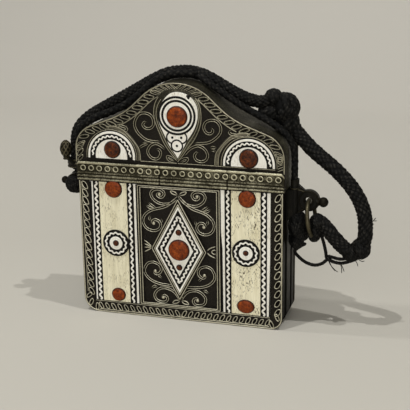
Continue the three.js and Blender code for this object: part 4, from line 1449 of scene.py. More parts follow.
@dataclass
class Studio:
    """The camera at the photograph's angle, soft lamps and a pale floor with a rising backdrop, in metres."""

    focal_pixels: float = 1028.784
    azimuth: float = 0.296084
    elevation: float = 0.296206
    roll: float = -0.014522
    origin_in_camera: Spot = (-9.052, -61.918, 612.658)
    floor_colour: Colour = field(default_factory=lambda: srgb(194, 190, 179))
    wall_colour: Colour = field(default_factory=lambda: srgb(220, 216, 206))
    room_colour: Colour = field(default_factory=lambda: srgb(236, 233, 226))
    room_light: float = 0.145
    room_seen: float = 0.45
    stage_half: float = 3.0
    stage_front: float = -1.4
    sweep_start: float = 0.55
    sweep_radius: float = 0.5
    wall_top: float = 2.2
    lamp_aim: Spot = (0.0, 0.0, 0.05)
    lamp_distance: float = 1.3
    lamps: Sequence[Lamp] = (
        Lamp("high_right", (0.37, -0.13, 1.0), 0.02, 4.8),
        Lamp("high_left", (-0.16, -0.27, 1.0), 0.02, 5.7),
        Lamp("left", (-0.95, -0.12, 1.0), 0.05, 2.8),
        Lamp("soft_front", (0.2, -1.3, 0.5), 1.0, 7.6),
    )

    def make_camera(self) -> None:
        """Makes the scene's camera."""
        az, el = self.azimuth, self.elevation
        back = Vector((math.sin(az) * math.cos(el), -math.cos(az) * math.cos(el), math.sin(el)))
        right = (-back).cross(Vector(UP)).normalized()
        up = right.cross(-back)
        cos, sin = math.cos(self.roll), math.sin(self.roll)
        right, up = cos * right + sin * up, cos * up - sin * right
        x, y, depth = self.origin_in_camera
        place = -(x * right + y * up - depth * back) * MM
        data = bpy.data.cameras.new("camera")
        data.sensor_width = SENSOR_MM
        data.lens = SENSOR_MM * self.focal_pixels / IMAGE_PIXELS
        data.clip_start, data.clip_end = 0.01, 20.0
        camera = bpy.data.objects.new("camera", data)
        rows = [(right[i], up[i], back[i], place[i]) for i in range(3)]
        camera.matrix_world = Matrix([*rows, (0, 0, 0, 1)])
        bpy.context.collection.objects.link(camera)
        bpy.context.scene.camera = camera

    def make_stage(self) -> None:
        """Makes the floor, which rises into the backdrop in one sweep."""
        start, radius = self.sweep_start, self.sweep_radius
        line = [(self.stage_front, 0.0), (start, 0.0)]
        for a in np.linspace(0.1, math.pi / 2, 16):
            line.append((start + radius * math.sin(a), radius - radius * math.cos(a)))
        line.append((start + radius, self.wall_top))
        points = [(x, y, z) for y, z in line for x in (-self.stage_half, self.stage_half)]
        faces = [(2 * i, 2 * i + 1, 2 * i + 3, 2 * i + 2) for i in range(len(line) - 1)]
        mesh = bpy.data.meshes.new("floor")
        mesh.from_pydata(points, [], faces)
        mesh.polygons.foreach_set("use_smooth", [True] * len(faces))
        material = bpy.data.materials.new("floor_paint")
        material.use_nodes = True
        shader = material.node_tree.nodes["Principled BSDF"]
        nodes = Nodes(material.node_tree)
        where = nodes.add("ShaderNodeTexCoord").outputs["Object"]
        depth = nodes.add("ShaderNodeSeparateXYZ", {0: where}).outputs["Y"]
        paint_share = nodes.spread(depth, 0.1, 0.6)
        nodes.put(shader.inputs["Base Color"], nodes.blend(paint_share, self.floor_colour, self.wall_colour))
        shader.inputs["Roughness"].default_value = 0.9
        shader.inputs["Specular IOR Level"].default_value = 0.1
        mesh.materials.append(material)
        floor = bpy.data.objects.new("floor", mesh)
        bpy.context.collection.objects.link(floor)

    def make_light(self) -> None:
        """Makes the lamps, the room that the camera sees paler than it shines, and the plain view transform."""
        aim = Vector(self.lamp_aim)
        for lamp in self.lamps:
            data = bpy.data.lights.new(lamp.name, "AREA")
            data.size, data.energy = lamp.size, lamp.power
            made = bpy.data.objects.new(lamp.name, data)
            made.location = aim + self.lamp_distance * Vector(lamp.direction).normalized()
            made.rotation_euler = (aim - made.location).to_track_quat("-Z", "Y").to_euler()
            bpy.context.collection.objects.link(made)
        world = bpy.data.worlds.new("soft_room")
        world.use_nodes = True
        background = world.node_tree.nodes["Background"]
        background.inputs["Color"].default_value = (*self.room_colour, 1)
        nodes = Nodes(world.node_tree)
        seen = nodes.add("ShaderNodeLightPath").outputs["Is Camera Ray"]
        strength = nodes.math("MULTIPLY_ADD", seen, self.room_seen, self.room_light)
        nodes.put(background.inputs["Strength"], strength)
        bpy.context.scene.world = world
        bpy.context.scene.view_settings.view_transform = "Standard"

    def make(self) -> None:
        """Makes the whole studio."""
        self.make_camera()
        self.make_stage()
        self.make_light()
        log.info("studio")


# The cord


@dataclass
class Cordage:
    """The black braided cord with its knots and strings."""

    over_lid: float = 6.6
    loop: float = 7.6
    strap: float = 3.6
    under: float = 4.2
    string: float = 1.8
    hair_radius: float = 0.22
    core_share: float = 0.82
    core_crest: float = 0.1
    over_lid_route: Route = (
        (-69.3, 3, 80.4), (-69.3, 3, 84), (-69.3, 3, 88), (-69.2, 3, 93), (-69.0, 3, 98.2), (-68.1, 3, 103.4),
        (-65.0, 2.7, 108.7), (-58.6, 2.2, 114.3), (-48.3, 1.8, 120.4), (-37.8, 1.3, 126.2), (-27.5, 0.8, 132.0),
        (-17.7, 0.4, 137.5), (-8.9, 0.1, 141.2), (0, 0, 142.4), (6.8, 0, 141.8), (13.4, 0, 139.6),
        (20.2, 0.3, 135.9), (28.2, 0.8, 131.4), (36.2, 1.3, 128.0), (43.6, 1.7, 126.9), (51.0, 2.0, 128.8),
    )
    strap_route: Route = (
        (8.5, -3, 141.2), (13.5, -5.2, 138.6), (20, -5.5, 134.3), (27, -5.2, 129.7), (34.5, -4.9, 125),
        (42, -4.6, 121.1), (49, -4.2, 117.3), (55, -3.8, 113.4), (59.6, -3.3, 108.9), (62.4, -2.8, 103.4),
        (63.1, -2.5, 97), (63.1, -2.5, 91), (63.1, -2.5, 84), (63.1, -2.5, 76), (63.1, -2.5, 68),
        (63.3, -2.5, 60), (64.2, -2, 55),
    )
    under_route: Route = (
        (-66.4, -0.6, 101.5), (-65.3, -1.6, 105.2), (-62.6, -2.4, 108.8), (-58.0, -2.9, 111.9),
        (-52.3, -3.2, 114.9), (-46.4, -3.4, 117.3), (-40.4, -3.5, 119.9), (-34.6, -3.6, 122.9),
        (-28.6, -3.7, 127.0), (-22.4, -3.7, 132.2), (-14.9, -3.6, 138.0), (-7.6, -3.5, 140.9),
        (0.0, -3.3, 141.9), (6.5, -3.1, 141.6),
    )
    loop_route: Route = (
        (57, 3.2, 119.5), (60.3, 3.1, 114), (64.9, 2.8, 108.3), (69.6, 2.2, 103.6), (74.9, 1.6, 99.1),
        (80.6, 1, 94.8), (86.1, 0.6, 90.4), (91.1, 0.2, 85.6), (95.6, -0.2, 80.3), (99.2, -0.6, 74.5),
        (101.6, -1, 68.3), (102.7, -1.4, 61.6), (102.8, -1.8, 54.8), (101.2, -2.2, 48.6),
    )
    return_route: Route = (
        (98, -2.4, 46), (93.4, -2.5, 46.2), (89.2, -2.5, 49.4), (85, -2.5, 54), (80.4, -2.5, 59.2),
        (75.8, -2.5, 63.4),
    )
    string_route: Route = (
        (70.5, -4.4, 49.0), (66.8, -4.6, 46.6), (64.2, -4.6, 43.8), (66.6, -4.8, 40.6), (70.6, -4.8, 37.8),
        (75.4, -4.8, 36.6), (79.6, -4.6, 37.8), (82.9, -4.4, 40.4), (86.2, -4.2, 39.2), (90.4, -4.0, 38.8),
        (95.0, -3.8, 40.2), (99.6, -3.4, 42.4),
    )
    second_route: Route = (
        (82.6, -3.9, 42.4), (86, -4.4, 41.9), (90, -4.6, 41.4), (94.5, -4.4, 42.4), (98.5, -4.2, 44.0),
        (102.5, -3.6, 46.8),
    )
    branch_route: Route = ((82, -3.9, 40.6), (81.6, -3.8, 44), (80.6, -3.6, 48.4), (79.2, -3.4, 53), (78, -3.2, 57))
    loop_threads: Sequence[Route] = (
        ((103, -3, 64.4), (106, -3.6, 64.6), (109.2, -3.8, 65.0)),
        ((103, -3, 64.0), (106.4, -3.4, 64.2), (108.6, -3.6, 66.6)),
        ((103, -3, 64.8), (105.8, -4.2, 64.4), (107.8, -4.6, 63.0)),
        ((97, -4, 42.6), (99.4, -5, 39.8), (99.8, -5.2, 38.2)),
        ((98.6, -4, 42.8), (101.6, -4.6, 41.2), (103.4, -4.8, 41.6)),
    )
    string_threads: Sequence[Route] = (
        ((83.0, -4.4, 40.4), (84.4, -4.6, 37.6), (87.0, -4.7, 34.8), (88.8, -4.8, 33.7)),
        ((83.6, -4.4, 40.0), (85.2, -4.9, 36.6), (87.2, -5.0, 34.2)),
        ((89.6, -4.0, 39.2), (90.6, -4.2, 36.2), (90.8, -4.2, 33.0)),
        ((90.0, -4.0, 39.0), (91.4, -4.2, 36.0), (92.2, -4.2, 34.0)),
    )
    top_lobes: Sequence[Lobe] = (
        ((50, 2, 129.6), (4.6, 4.6, 4.3)), ((56.4, 2, 124.2), (7.9, 6.6, 8.0)),
        ((57.8, 2.4, 116.2), (6.2, 5.6, 6.4)), ((47.6, 1.6, 121.8), (5.8, 4.6, 5.2)),
    )
    bend_lobes: Sequence[Lobe] = (((100.6, -2.2, 47.6), (5.4, 5, 5.6)), ((95.6, -2.4, 44.6), (4.9, 4.8, 4.4)))
    strap_lobes: Sequence[Lobe] = (
        ((64.9, -5.2, 58.6), (4.3, 6.0, 7.2)), ((64.9, -4.6, 51.0), (4.2, 5.2, 4.9)),
        ((67.2, -4.4, 61.8), (2.6, 4.8, 5.0)), ((66.6, 5.6, 53.5), (3.8, 2.6, 6.5)),
    )
    hitch_lobes: Sequence[Lobe] = (((76.4, -2.8, 61.6), (4.2, 5.0, 4.4)), ((74.9, -3.4, 55.6), (3.6, 5.2, 5.4)))
    left_lobes: Sequence[Lobe] = (
        ((-69.2, -4.4, 73.8), (4.6, 3.4, 4.8)), ((-69.2, 5, 73.6), (4.4, 3.6, 4.6)),
        ((-69.4, 4, 77.5), (3.6, 3.2, 2.5)),
    )

    @staticmethod
    def in_metres(route: Route) -> tuple[list[tuple[float, ...]], float]:
        """A route's close points in metres, and its length."""
        line = smooth_line(route, 1.0) * MM
        return [tuple(p) for p in line.tolist()], float(np.linalg.norm(np.diff(line, axis=0), axis=1).sum())

    @staticmethod
    def braided(name: str, route: Route, diameter: float, sides: int = 60) -> Item:
        """A braided length of cord, not yet riding on anything.

        Args:
            name: Its name.
            route: The line it follows.
            diameter: Its diameter.
            sides: Points round it.

        Returns:
            The piece.
        """
        strands = 8 if diameter > 5 else 4
        weave = Weave(strands, turn=diameter * math.pi * 1.25, depth=diameter * 0.13)
        line = smooth_line(route, max(0.25, diameter * 0.05))
        return build(name, tube(line, diameter / 2, sides, weave=weave), SILK)

    @staticmethod
    def wound(lobe: Lobe, axis: Spot, thick: float, turns: float, spread: float, start: float) -> Shape:
        """A cord wound on a lobe of a knot.

        Args:
            lobe: The lobe's centre and half sizes.
            axis: The axis of the winding.
            thick: The cord's radius.
            turns: Number of turns.
            spread: How far the winding moves along the axis, as a share of the lobe.
            start: First angle.

        Returns:
            The winding.
        """
        centre, size = np.array(lobe[0], float), np.array(lobe[1], float)
        a = np.array(Vector(axis).normalized())
        b = np.array(Vector(axis).orthogonal().normalized())
        c = np.cross(a, b)
        t = np.linspace(0, 1, int(turns * 40))
        angle = start + t * turns * TAU
        along = spread * (2 * t - 1)
        girth = np.sqrt(np.clip(1 - along**2, 0.05, 1))
        unit = along[:, None] * a + girth[:, None] * (np.cos(angle)[:, None] * b + np.sin(angle)[:, None] * c)
        line = even_line(centre + unit * np.clip(size - thick * 0.8, 0.6, None), thick * 0.16)
        return tube(line, thick, 24, weave=Weave(5, turn=thick * 7.0, depth=thick * 0.2))

    def knot(self, name: str, lobes: Sequence[Lobe], thick: float, body: Body, *nodes: str) -> Item:
        """A knot: wound cord over full cores.

        Args:
            name: Its name.
            lobes: Centres and half sizes.
            thick: Radius of its cord.
            body: What it rides on.
            nodes: CAD nodes that it stands for.

        Returns:
            The knot.
        """
        shapes = []
        for i, lobe in enumerate(lobes):
            core = ellipsoid(lobe[0], np.array(lobe[1]) * self.core_share)
            core.crest[:] = self.core_crest
            core.lay = np.zeros((sum(len(f) for f in core.faces), 2))
            shapes.append(core)
            shapes.append(self.wound(lobe, (0.3, 1, 0.25 - 0.3 * i), thick, 2.2, 0.55, 0.6 * i))
            shapes.append(self.wound(lobe, (0.9, 0.2, 0.6 - 0.5 * i), thick * 0.9, 1.6, 0.35, 1.3 + i))
        return settle(build(name, joined(shapes), SILK), body, Slot.CORD, *nodes)

    def hairs(self, name: str, threads: Sequence[Route]) -> Item:
        """Loose thread ends, one on each route, that ride on the case."""
        shapes = [tube(smooth_line(route, 0.6), self.hair_radius, 6) for route in threads]
        return settle(build(name, joined(shapes), SILK), Body.CASE, Slot.CORD)

    def make_lid_cords(self) -> None:
        """Makes the cord over the lid, the strap and the strand under the cord, with their knots."""
        top = self.knot("knot_top", self.top_lobes, 2.3, Body.LID, "cord_knot_top")
        bend = self.knot("knot_bend", self.bend_lobes, 1.9, Body.CASE)
        strap_end = self.knot("knot_strap_end", self.strap_lobes, 1.5, Body.CASE, "cord_strap_knot")
        self.knot("knot_on_ring", self.hitch_lobes, 1.6, Body.RING, "cord_hitch")
        self.knot("knot_left", self.left_lobes, 1.6, Body.CASE, "cord_knot_left")

        over = self.braided("cord_braid_over_lid", self.over_lid_route, self.over_lid)
        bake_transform(over, "case_body", "lid", start=(-0.0693, 0.003, 0.0795), end=(-0.0693, 0.003, 0.103))
        settle(over, Body.LID, Slot.CORD, "cord_over_lid")

        strap = self.braided("cord_braid_strap", self.strap_route, self.strap, 24)
        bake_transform(strap, "case_body", "lid", start=(0.0631, -0.0025, 0.087), end=(0.0631, -0.0025, 0.105))
        settle(strap, Body.LID, Slot.CORD, "cord_strap_upper", "cord_strap_lower")

        under = self.braided("cord_braid_under", self.under_route, self.under, 30)
        settle(under, Body.LID, Slot.CORD)
        self.make_loop()

    def make_loop(self) -> None:
        """Makes the loop with its threads and the length back to the ring.
        """
        loop = self.braided("cord_braid_loop", self.loop_route, self.loop)
        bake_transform(loop, "case_body", "lid", start=(0.1, 0, 0.059), end=(0.1, 0, 0.112))
        settle(loop, Body.LID, Slot.CORD, "cord_loop_upper", "cord_loop")
        threads = self.hairs("loose_threads", self.loop_threads)
        back = self.braided("cord_braid_return", self.return_route, self.loop)
        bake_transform(back, "case_body", "ring", start=(0.093, 0, 0.046), end=(0.076, 0, 0.062))
        settle(back, Body.CASE, Slot.CORD)

    def make_strings(self) -> None:
        """Makes the thin strings under the loop."""
        string = self.braided("string_lower", self.string_route, self.string, 14)
        settle(string, Body.CASE, Slot.CORD, "binding_string")
        second = self.braided("string_second", self.second_route, self.string, 14)
        settle(second, Body.CASE, Slot.CORD)
        branch = self.braided("string_branch", self.branch_route, self.string, 14)
        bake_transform(branch, "case_body", "ring", start=(0.0815, 0, 0.044), end=(0.079, 0, 0.054))
        settle(branch, Body.CASE, Slot.CORD)
        ends = self.hairs("string_ends", self.string_threads)

    def make(self) -> None:
        """Makes all the cords."""
        self.make_lid_cords()
        self.make_strings()


# The case body and the lid


@dataclass
class Assembly:
    """A sub-assembly whose pieces ride on one body."""

    ornament: Ornament
    body: Body
    bead_inset: float = 0.6
    inner_inset: float = 3.2
    back_scale: float = 0.9

    def add(self, name: str, shape: Shape, finish: Finish, slot: Slot, *nodes: str, smooth: bool = True) -> Item:
        """Makes a piece that rides on the sub-assembly's body and stands for nodes."""
        return settle(build(name, shape, finish, smooth), self.body, slot, *nodes)

    def add_back_bead(self, name: str, lines: Iterable[Array], back: float) -> None:
        """Makes beads along lines on a back plate.

        Args:
            name: The piece's name.
            lines: Lines of x and z.
            back: y of the plate's back.
        """
        ring = self.ornament.ridges(lines, 0.0, scaled(BEAD, self.back_scale, self.back_scale))
        turned = Shape(ring.points * np.array([1, -1, 1.0]), ring.faces, ring.crest).moved((0, back, 0))
        self.add(name, turned, RELIEF, Slot.DARK_SILVER)


@dataclass(frozen=True)
class Dome:
    """A coral of the body: half sizes, place from its node's middle, seat, unevenness and blunt corners."""

    node: str
    size: Place
    shift: Place
    seat: float
    lumps: float
    seed: float
    corners: int = 0


LOZENGE_SEAT, ROSETTE_SEAT, STRIP_SEAT = -17.85, -17.98, -17.4
# Corals with smaller half sizes than this are brown
SMALL_CORAL = 2.0
BODY_DOMES = (
    Dome("lozenge_coral_centre", (6.0, 6.0), (0, 0), LOZENGE_SEAT, 0.012, 1.0),
    Dome("lozenge_coral_upper", (1.5, 1.5), (0, 0), LOZENGE_SEAT, 0.03, 2.0),
    Dome("lozenge_coral_lower", (1.5, 1.5), (0, 0), LOZENGE_SEAT, 0.03, 3.0),
    Dome("rosette_coral_left", (1.5, 1.5), (0.85, 0.1), ROSETTE_SEAT, 0.04, 4.0),
    Dome("rosette_coral_right", (1.3, 1.3), (0.1, 0.8), ROSETTE_SEAT, 0.04, 5.0),
    Dome("coral_upper_left", (5.0, 4.95), (0.4, 1.5), STRIP_SEAT, 0.02, 6.0),
    Dome("coral_upper_right", (4.75, 4.8), (0.8, 1.2), STRIP_SEAT, 0.02, 0.4, 8),
    Dome("coral_lower_left", (4.05, 3.8), (1.2, 0.1), STRIP_SEAT, 0.03, 8.0),
    Dome("coral_lower_right", (4.85, 3.85), (-0.15, 0.5), STRIP_SEAT, 0.02, 9.0),
)
PANEL_SCROLLS: Sequence[Flat] = [
    (
        (0.2, 75.6), (1.0, 73.6), (3.3, 71.2), (5.8, 70.0), (9.2, 69.6), (12.1, 70.4), (14.5, 72.3),
        (15.6, 74.4), (15.4, 76.3), (13.6, 77.8), (10.9, 78.1), (8.6, 77.0), (8.1, 75.3), (9.2, 73.7),
        (10.6, 73.5), (11.9, 74.4), (11.9, 75.6), (10.8, 76.1),
    ),
    (
        (0.3, 76.2), (0.6, 74), (3.0, 71.8), (5.6, 69.5), (8.6, 67.8), (12.1, 66.7), (15.6, 65.5), (18.6, 63.4),
        (20.4, 60.7), (20.6, 57.8), (18.9, 54.7), (15.6, 53.3), (12.4, 54.0), (10.6, 56.2), (10.9, 58.5),
        (12.7, 59.9), (14.7, 59.6), (15.5, 58.2), (14.6, 57.0),
    ),
    (
        (0.3, 12.0), (1.0, 16.0), (2.4, 19.2), (3.9, 20.5), (7.4, 20.9), (11.5, 21.2), (15.6, 22.4),
        (18.6, 24.4), (20.5, 27.2), (20.5, 30.1), (18.6, 33.2), (15.6, 34.2), (12.4, 33.1), (10.9, 30.7),
        (11.5, 28.4), (13.5, 27.1), (15.1, 28.1), (14.6, 29.4),
    ),
    (
        (0.3, 11.4), (1.5, 14.4), (3.9, 17.2), (6.8, 18.6), (9.8, 18.9), (12.7, 17.8), (14.8, 15.4),
        (15.1, 13.1), (13.9, 11.0), (11.2, 10.0), (8.8, 10.4), (7.6, 12.2), (8.3, 13.8), (10.2, 14.1),
        (11.1, 12.9),
    ),
    ((12.6, 66.6), (15.2, 68.2), (17.6, 70.2)),
    ((13.6, 66.0), (16.6, 67.0), (19.0, 68.4)),
    ((10.8, 57.6), (9.9, 59.6), (9.4, 61.4)),
    ((12.9, 18.6), (15.0, 19.4), (17.2, 17.6)),
    ((15.8, 58.8), (17.0, 60.4), (16.2, 62.4)),
    ((13.4, 27.4), (11.8, 25.8), (10.4, 24.6)),
]
PANEL_FAN: Sequence[Flat] = [
    [(-16.4, 43.2), (-18.4, 45.2), (-21.8, 47.6)],
    [(-16.4, 43.2), (-19.0, 44.2), (-21.8, 45.2)],
    [(-16.4, 43.2), (-19.2, 43.0), (-21.8, 42.8)],
    [(-16.4, 43.2), (-18.6, 41.6), (-21.8, 39.8)],
    [(15.8, 43.2), (18.0, 45.4), (21.8, 47.0)],
    [(15.8, 43.2), (18.0, 41.2), (21.8, 39.6)],
    [(21.9, 44.4), (20.2, 44.6), (19.0, 43.4), (20.2, 42.2), (21.9, 42.5)],
]
PANEL_LEAVES: Sequence[Flat] = [
    [(0.3, 75.2), (1.8, 77.0), (4.6, 77.7), (3.6, 76.0), (0.3, 75.2)],
    [(0.3, 12.2), (2.0, 10.3), (4.8, 9.9), (3.6, 11.7), (0.3, 12.2)],
]
PANEL_BUDS: Flat = ((14.6, 57.6), (14.5, 28.8), (10.9, 75.4), (10.2, 12.9))


@dataclass
class CaseBody(Assembly):
    """The box body: its plates, border, inlaid strips and middle panel."""

    body: Body = Body.CASE
    half: float = 60.0
    mouth: float = 80.6
    corner_left: float = 9.0
    corner_right: float = 7.0
    face: float = -16.5
    back: float = 16.5
    strip_face: float = -17.4
    strip_low: float = 8.0
    strip_high: float = 80.2
    panel_face: float = -17.6
    lozenge_middle: float = 43.2
    lozenge_slope: float = 1.867
    lozenge_face: float = -17.8
    frame_face: float = -18.1
    foot_bead: Flat = ((-50.5, 1.7), (52.5, 1.7))
    border_lines: Sequence[Flat] = (
        ((-52.8, 6.95), (52.8, 6.95)),
        ((-58.3, 78.0), (-58.0, 40.0), (-57.6, 12.0)),
    )
    leaf_top: float = 77.6
    leaf_level: float = 3.95
    low_pitches: Place = (3.4, 3.7)
    leaf_rows: Sequence[tuple[Side, float, float, float]] = (
        (Side.LEFT, 56.5, 55.3, 4.6),
        (Side.RIGHT, 57.1, 57.2, 5.3),
    )
    strip_waves: Sequence[tuple[str, float, float, float]] = (
        ("outer", 49.3, 1.05, 0.66),
        ("inner", 28.8, 0.98, 0.54),
    )
    strip_gaps: Sequence[tuple[str, float, float, bool]] = (
        ("strip_left_edge_outer", 0.0, 1.1, False),
        ("strip_left_edge_inner", -0.3, 0.35, False),
        ("strip_left_edge_inner", 0.0, 0.75, True),
        ("strip_right_edge_inner", 0.0, 0.3, False),
    )
    right_gap: Flat = ((0, 8.0), (1.35, 8.0), (1.2, 30.0), (1.1, 46.0), (0.3, 56.0), (0, 58.0))
    right_line: Flat = ((53.2, 7.8), (53.2, 80.2), (53.05, 80.2), (53.05, 40.0), (52.3, 7.8))
    wave_pitch: float = 3.7
    rosette_front: float = -18.0
    rosette_back: float = -17.8
    rosette_centres: Sequence[tuple[Side, Place]] = ((Side.LEFT, (-38.2, 44.2)), (Side.RIGHT, (39.15, 44.7)))
    rosette_ground: float = 8.05
    rosette_ring: Place = (6.55, 5.6)
    rosette_lobes: int = 13
    rosette_swing: float = 0.34
    rosette_heart: float = 3.95
    frame_ridges: Place = (14.55, 16.0)
    white_edge: Place = (13.95, 12.85)
    black_band: Place = (12.9, 8.5)
    wave_reach: float = 10.75
    lozenge_wave: Spot = (0.95, 2.9, 0.45)
    panel_loops: Route = ((23.95, 8.3, 79.9), (22.5, 9.2, 79.0))
    left_stretch: float = 1.04
    bud_size: Spot = (0.95, 0.5, 0.95)
    bud_crest: float = 0.85

    def outline(self, inset: float) -> Array:
        """The border's line, from top left round the bottom to top right.

        Args:
            inset: Its distance inside the plate's edge.

        Returns:
            Its points.
        """
        edge = self.half - inset
        left, right = self.corner_left - inset, self.corner_right - inset
        parts = [
            np.array([[-edge, self.mouth - 0.2], [-edge, self.corner_left + 1.0]]),
            arc((-self.half + self.corner_left, self.corner_left), left, 180, 270, 14),
            arc((self.half - self.corner_right, self.corner_right), right, 270, 360, 14),
            np.array([[edge, self.mouth - 0.2]]),
        ]
        return even_line(np.concatenate(parts), 0.8)

    def lozenge(self, reach: float) -> Array:
        """The lozenge's outline with a given half width, from its right corner anticlockwise."""
        tall = reach * self.lozenge_slope
        corners = np.array([(reach, 0), (0, tall), (-reach, 0), (0, -tall), (reach, 0)], float)
        return edge_points(corners + (0, self.lozenge_middle), 24)

    def dress_nodes(self) -> None:
        """Gives the CAD nodes that stay their finishes."""
        finishes: dict[Finish, list[str]] = {
            GROUND: ["body_front_plate", "panel_frame", "lozenge_frame"],
            # The side wall and mouldings take the finish darkened as painted shade
            SHADED_DARK: ["body_side_wall", "side_moulding_mid", "side_moulding_back"],
            BACK: ["body_back_plate"],
            PLATE: ["inner_sleeve"],
            BLACK: ["lozenge_border"],
            BONE: ["strip_left_bone"],
            PITTED_BONE: ["strip_right_bone"],
            WHITE: ["lozenge_bone"],
        }
        for side in ("left", "right"):
            finishes[BLACK] += [f"strip_{side}_zigzag_outer", f"strip_{side}_zigzag_inner"]
            finishes[WHITE] += [f"strip_{side}_edge_outer", f"strip_{side}_edge_inner"]
        paint(finishes)

    def make_border(self) -> None:
        """Makes the edge bead, the rope of leaf cells and the lines along it."""
        o = self.ornament
        bead = o.ridges([self.outline(self.bead_inset)], self.face, BEAD)
        foot = even_line(np.array(self.foot_bead), 2.0)
        lines = o.ridges([foot], self.face, scaled(BEAD, 0.8, 0.7))
        inner = [even_line(np.array(line), 2.0) for line in self.border_lines]
        lines = joined([lines, o.ridges(inner, self.face, scaled(THREAD, 1.0, 0.9))])
        self.add("body_edge_bead", joined([bead, lines]), RELIEF, Slot.SILVER)
        rows = []
        for side, upper, lower, pitch in self.leaf_rows:
            radius = self.corner_left if side is Side.LEFT else self.corner_right
            upright = even_line(np.array([[upper, self.leaf_top], [lower, radius + 3.5]]), 0.6)
            bend = arc((self.half - radius, radius), radius - 3.0, 8, -80, 12)
            level = [[self.half - radius - 1.5, self.leaf_level], [2.0, self.leaf_level]]
            bend_pitch, level_pitch = self.low_pitches
            half = joined(
                [
                    o.row(upright, self.face, BODY_LEAF, pitch, follow=0.0, seed=4),
                    o.row(bend, self.face, LOW_LEAF, bend_pitch, seed=5),
                    o.row(even_line(np.array(level), 0.6), self.face, LOW_LEAF, level_pitch, follow=0.0, seed=9),
                ]
            )
            rows.append(half.mirrored() if side is Side.LEFT else half)
        self.add("body_border_leaves", joined(rows), RELIEF, Slot.SILVER)

    def make_strips(self) -> None:
        """Makes the white waves on the black strips."""
        for side in Side:
            for place, x, width, swing in self.strip_waves:
                line = np.array([[side.value * x, self.strip_low], [side.value * x, self.strip_high]])
                wave = self.ornament.wave(line, self.strip_face, width, self.wave_pitch, swing)
                self.add(f"wave_{side.word}_{place}", wave, WHITE, Slot.WHITE_BONE)

    def make_strip_lines(self) -> None:
        """Makes the black filling that narrows the white edge strips."""
        fillings = []

        def fill(corners: Iterable[Place], top: float, rim: float) -> None:
            """Adds a thin filling on a strip with the given front."""
            fillings.append(disc(np.array(list(corners)), top - 0.06, top + 0.2, rim))

        for node, start, end, from_right in self.strip_gaps:
            low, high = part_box(node)
            edge, inward = (high.x / MM, -1) if from_right else (low.x / MM, 1)
            left, right = sorted((edge + inward * start, edge + inward * end))
            foot, top = self.strip_low - 0.2, self.strip_high
            fill([(left, foot), (right, foot), (right, top), (left, top)], low.y / MM, 0.04)
        low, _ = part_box("strip_right_edge_inner")
        fill([(low.x / MM + x, z) for x, z in self.right_gap], low.y / MM, 0.04)
        fill(self.right_line, low.y / MM, 0.02)
        self.add("strip_black_lines", joined(fillings), BLACK, Slot.INLAY, smooth=False)

    def make_rosettes(self) -> None:
        """Makes the two rosettes: a black disc with a scalloped white ring and a white disc."""
        front, back = self.rosette_front, self.rosette_back
        for side, centre in self.rosette_centres:
            word = side.word
            ground = disc(circle_line(centre, self.rosette_ground, 96), back - 0.02, self.strip_face + 0.3)
            self.add(f"rosette_ground_{word}", ground, BLACK, Slot.INLAY, f"rosette_{word}", smooth=False)
            waves = self.rosette_lobes, self.rosette_swing
            outer, inner = (circle_line(centre, radius, 156, *waves) for radius in self.rosette_ring)
            heart = circle_line(centre, self.rosette_heart, 96)
            shapes = [cake(outer, front, back, inner), disc(heart, front, back)]
            self.add(f"rosette_rings_{word}", joined(shapes), WHITE, Slot.WHITE_BONE, smooth=False)

    def make_corals(self) -> None:
        """Makes the coral domes of the body and the painted shade in the gaps round them."""
        gap_shades = []
        for dome in BODY_DOMES:
            low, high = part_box(dome.node)
            middle = ((low.x + high.x) / 2 / MM + dome.shift[0], (low.z + high.z) / 2 / MM + dome.shift[1])
            shape = coral_dome(middle, dome.size, dome.seat, dome.lumps, dome.seed, dome.corners)
            # Painted shade: a dark disc in the gap round the dome
            gap_shades.append(coral_seat(middle, dome.size, dome.seat))
            finish = DARK_CORAL if max(dome.size) < SMALL_CORAL else CORAL
            self.add(f"dome_{dome.node}", shape, finish, Slot.CORAL, dome.node)
        self.add("coral_seats_body", joined(gap_shades), BLACK, Slot.INLAY, smooth=False)

    def make_lozenge(self) -> None:
        """Makes the lozenge's frame ridges, white edge and wave."""
        o = self.ornament
        thread = scaled(THREAD, 1.0, 1.15)
        ridges = [o.ridges([self.lozenge(reach)], self.frame_face, thread, True) for reach in self.frame_ridges]
        self.add("lozenge_ridges", joined(ridges), RELIEF, Slot.SILVER)
        front = self.frame_face - 0.06
        outer, inner = (self.lozenge(reach) for reach in self.white_edge)
        edge = cake(outer, front, front + 0.3, inner)
        self.add("lozenge_white_edge", edge, WHITE, Slot.WHITE_BONE, smooth=False)
        outer, inner = (self.lozenge(reach) for reach in self.black_band)
        band = cake(outer, self.lozenge_face - 0.03, self.lozenge_face + 0.1, inner)
        self.add("lozenge_black_band", band, BLACK, Slot.INLAY, smooth=False)
        wave = o.wave(self.lozenge(self.wave_reach), self.lozenge_face - 0.03, *self.lozenge_wave, True)
        self.add("lozenge_wave", wave, WHITE, Slot.WHITE_BONE)

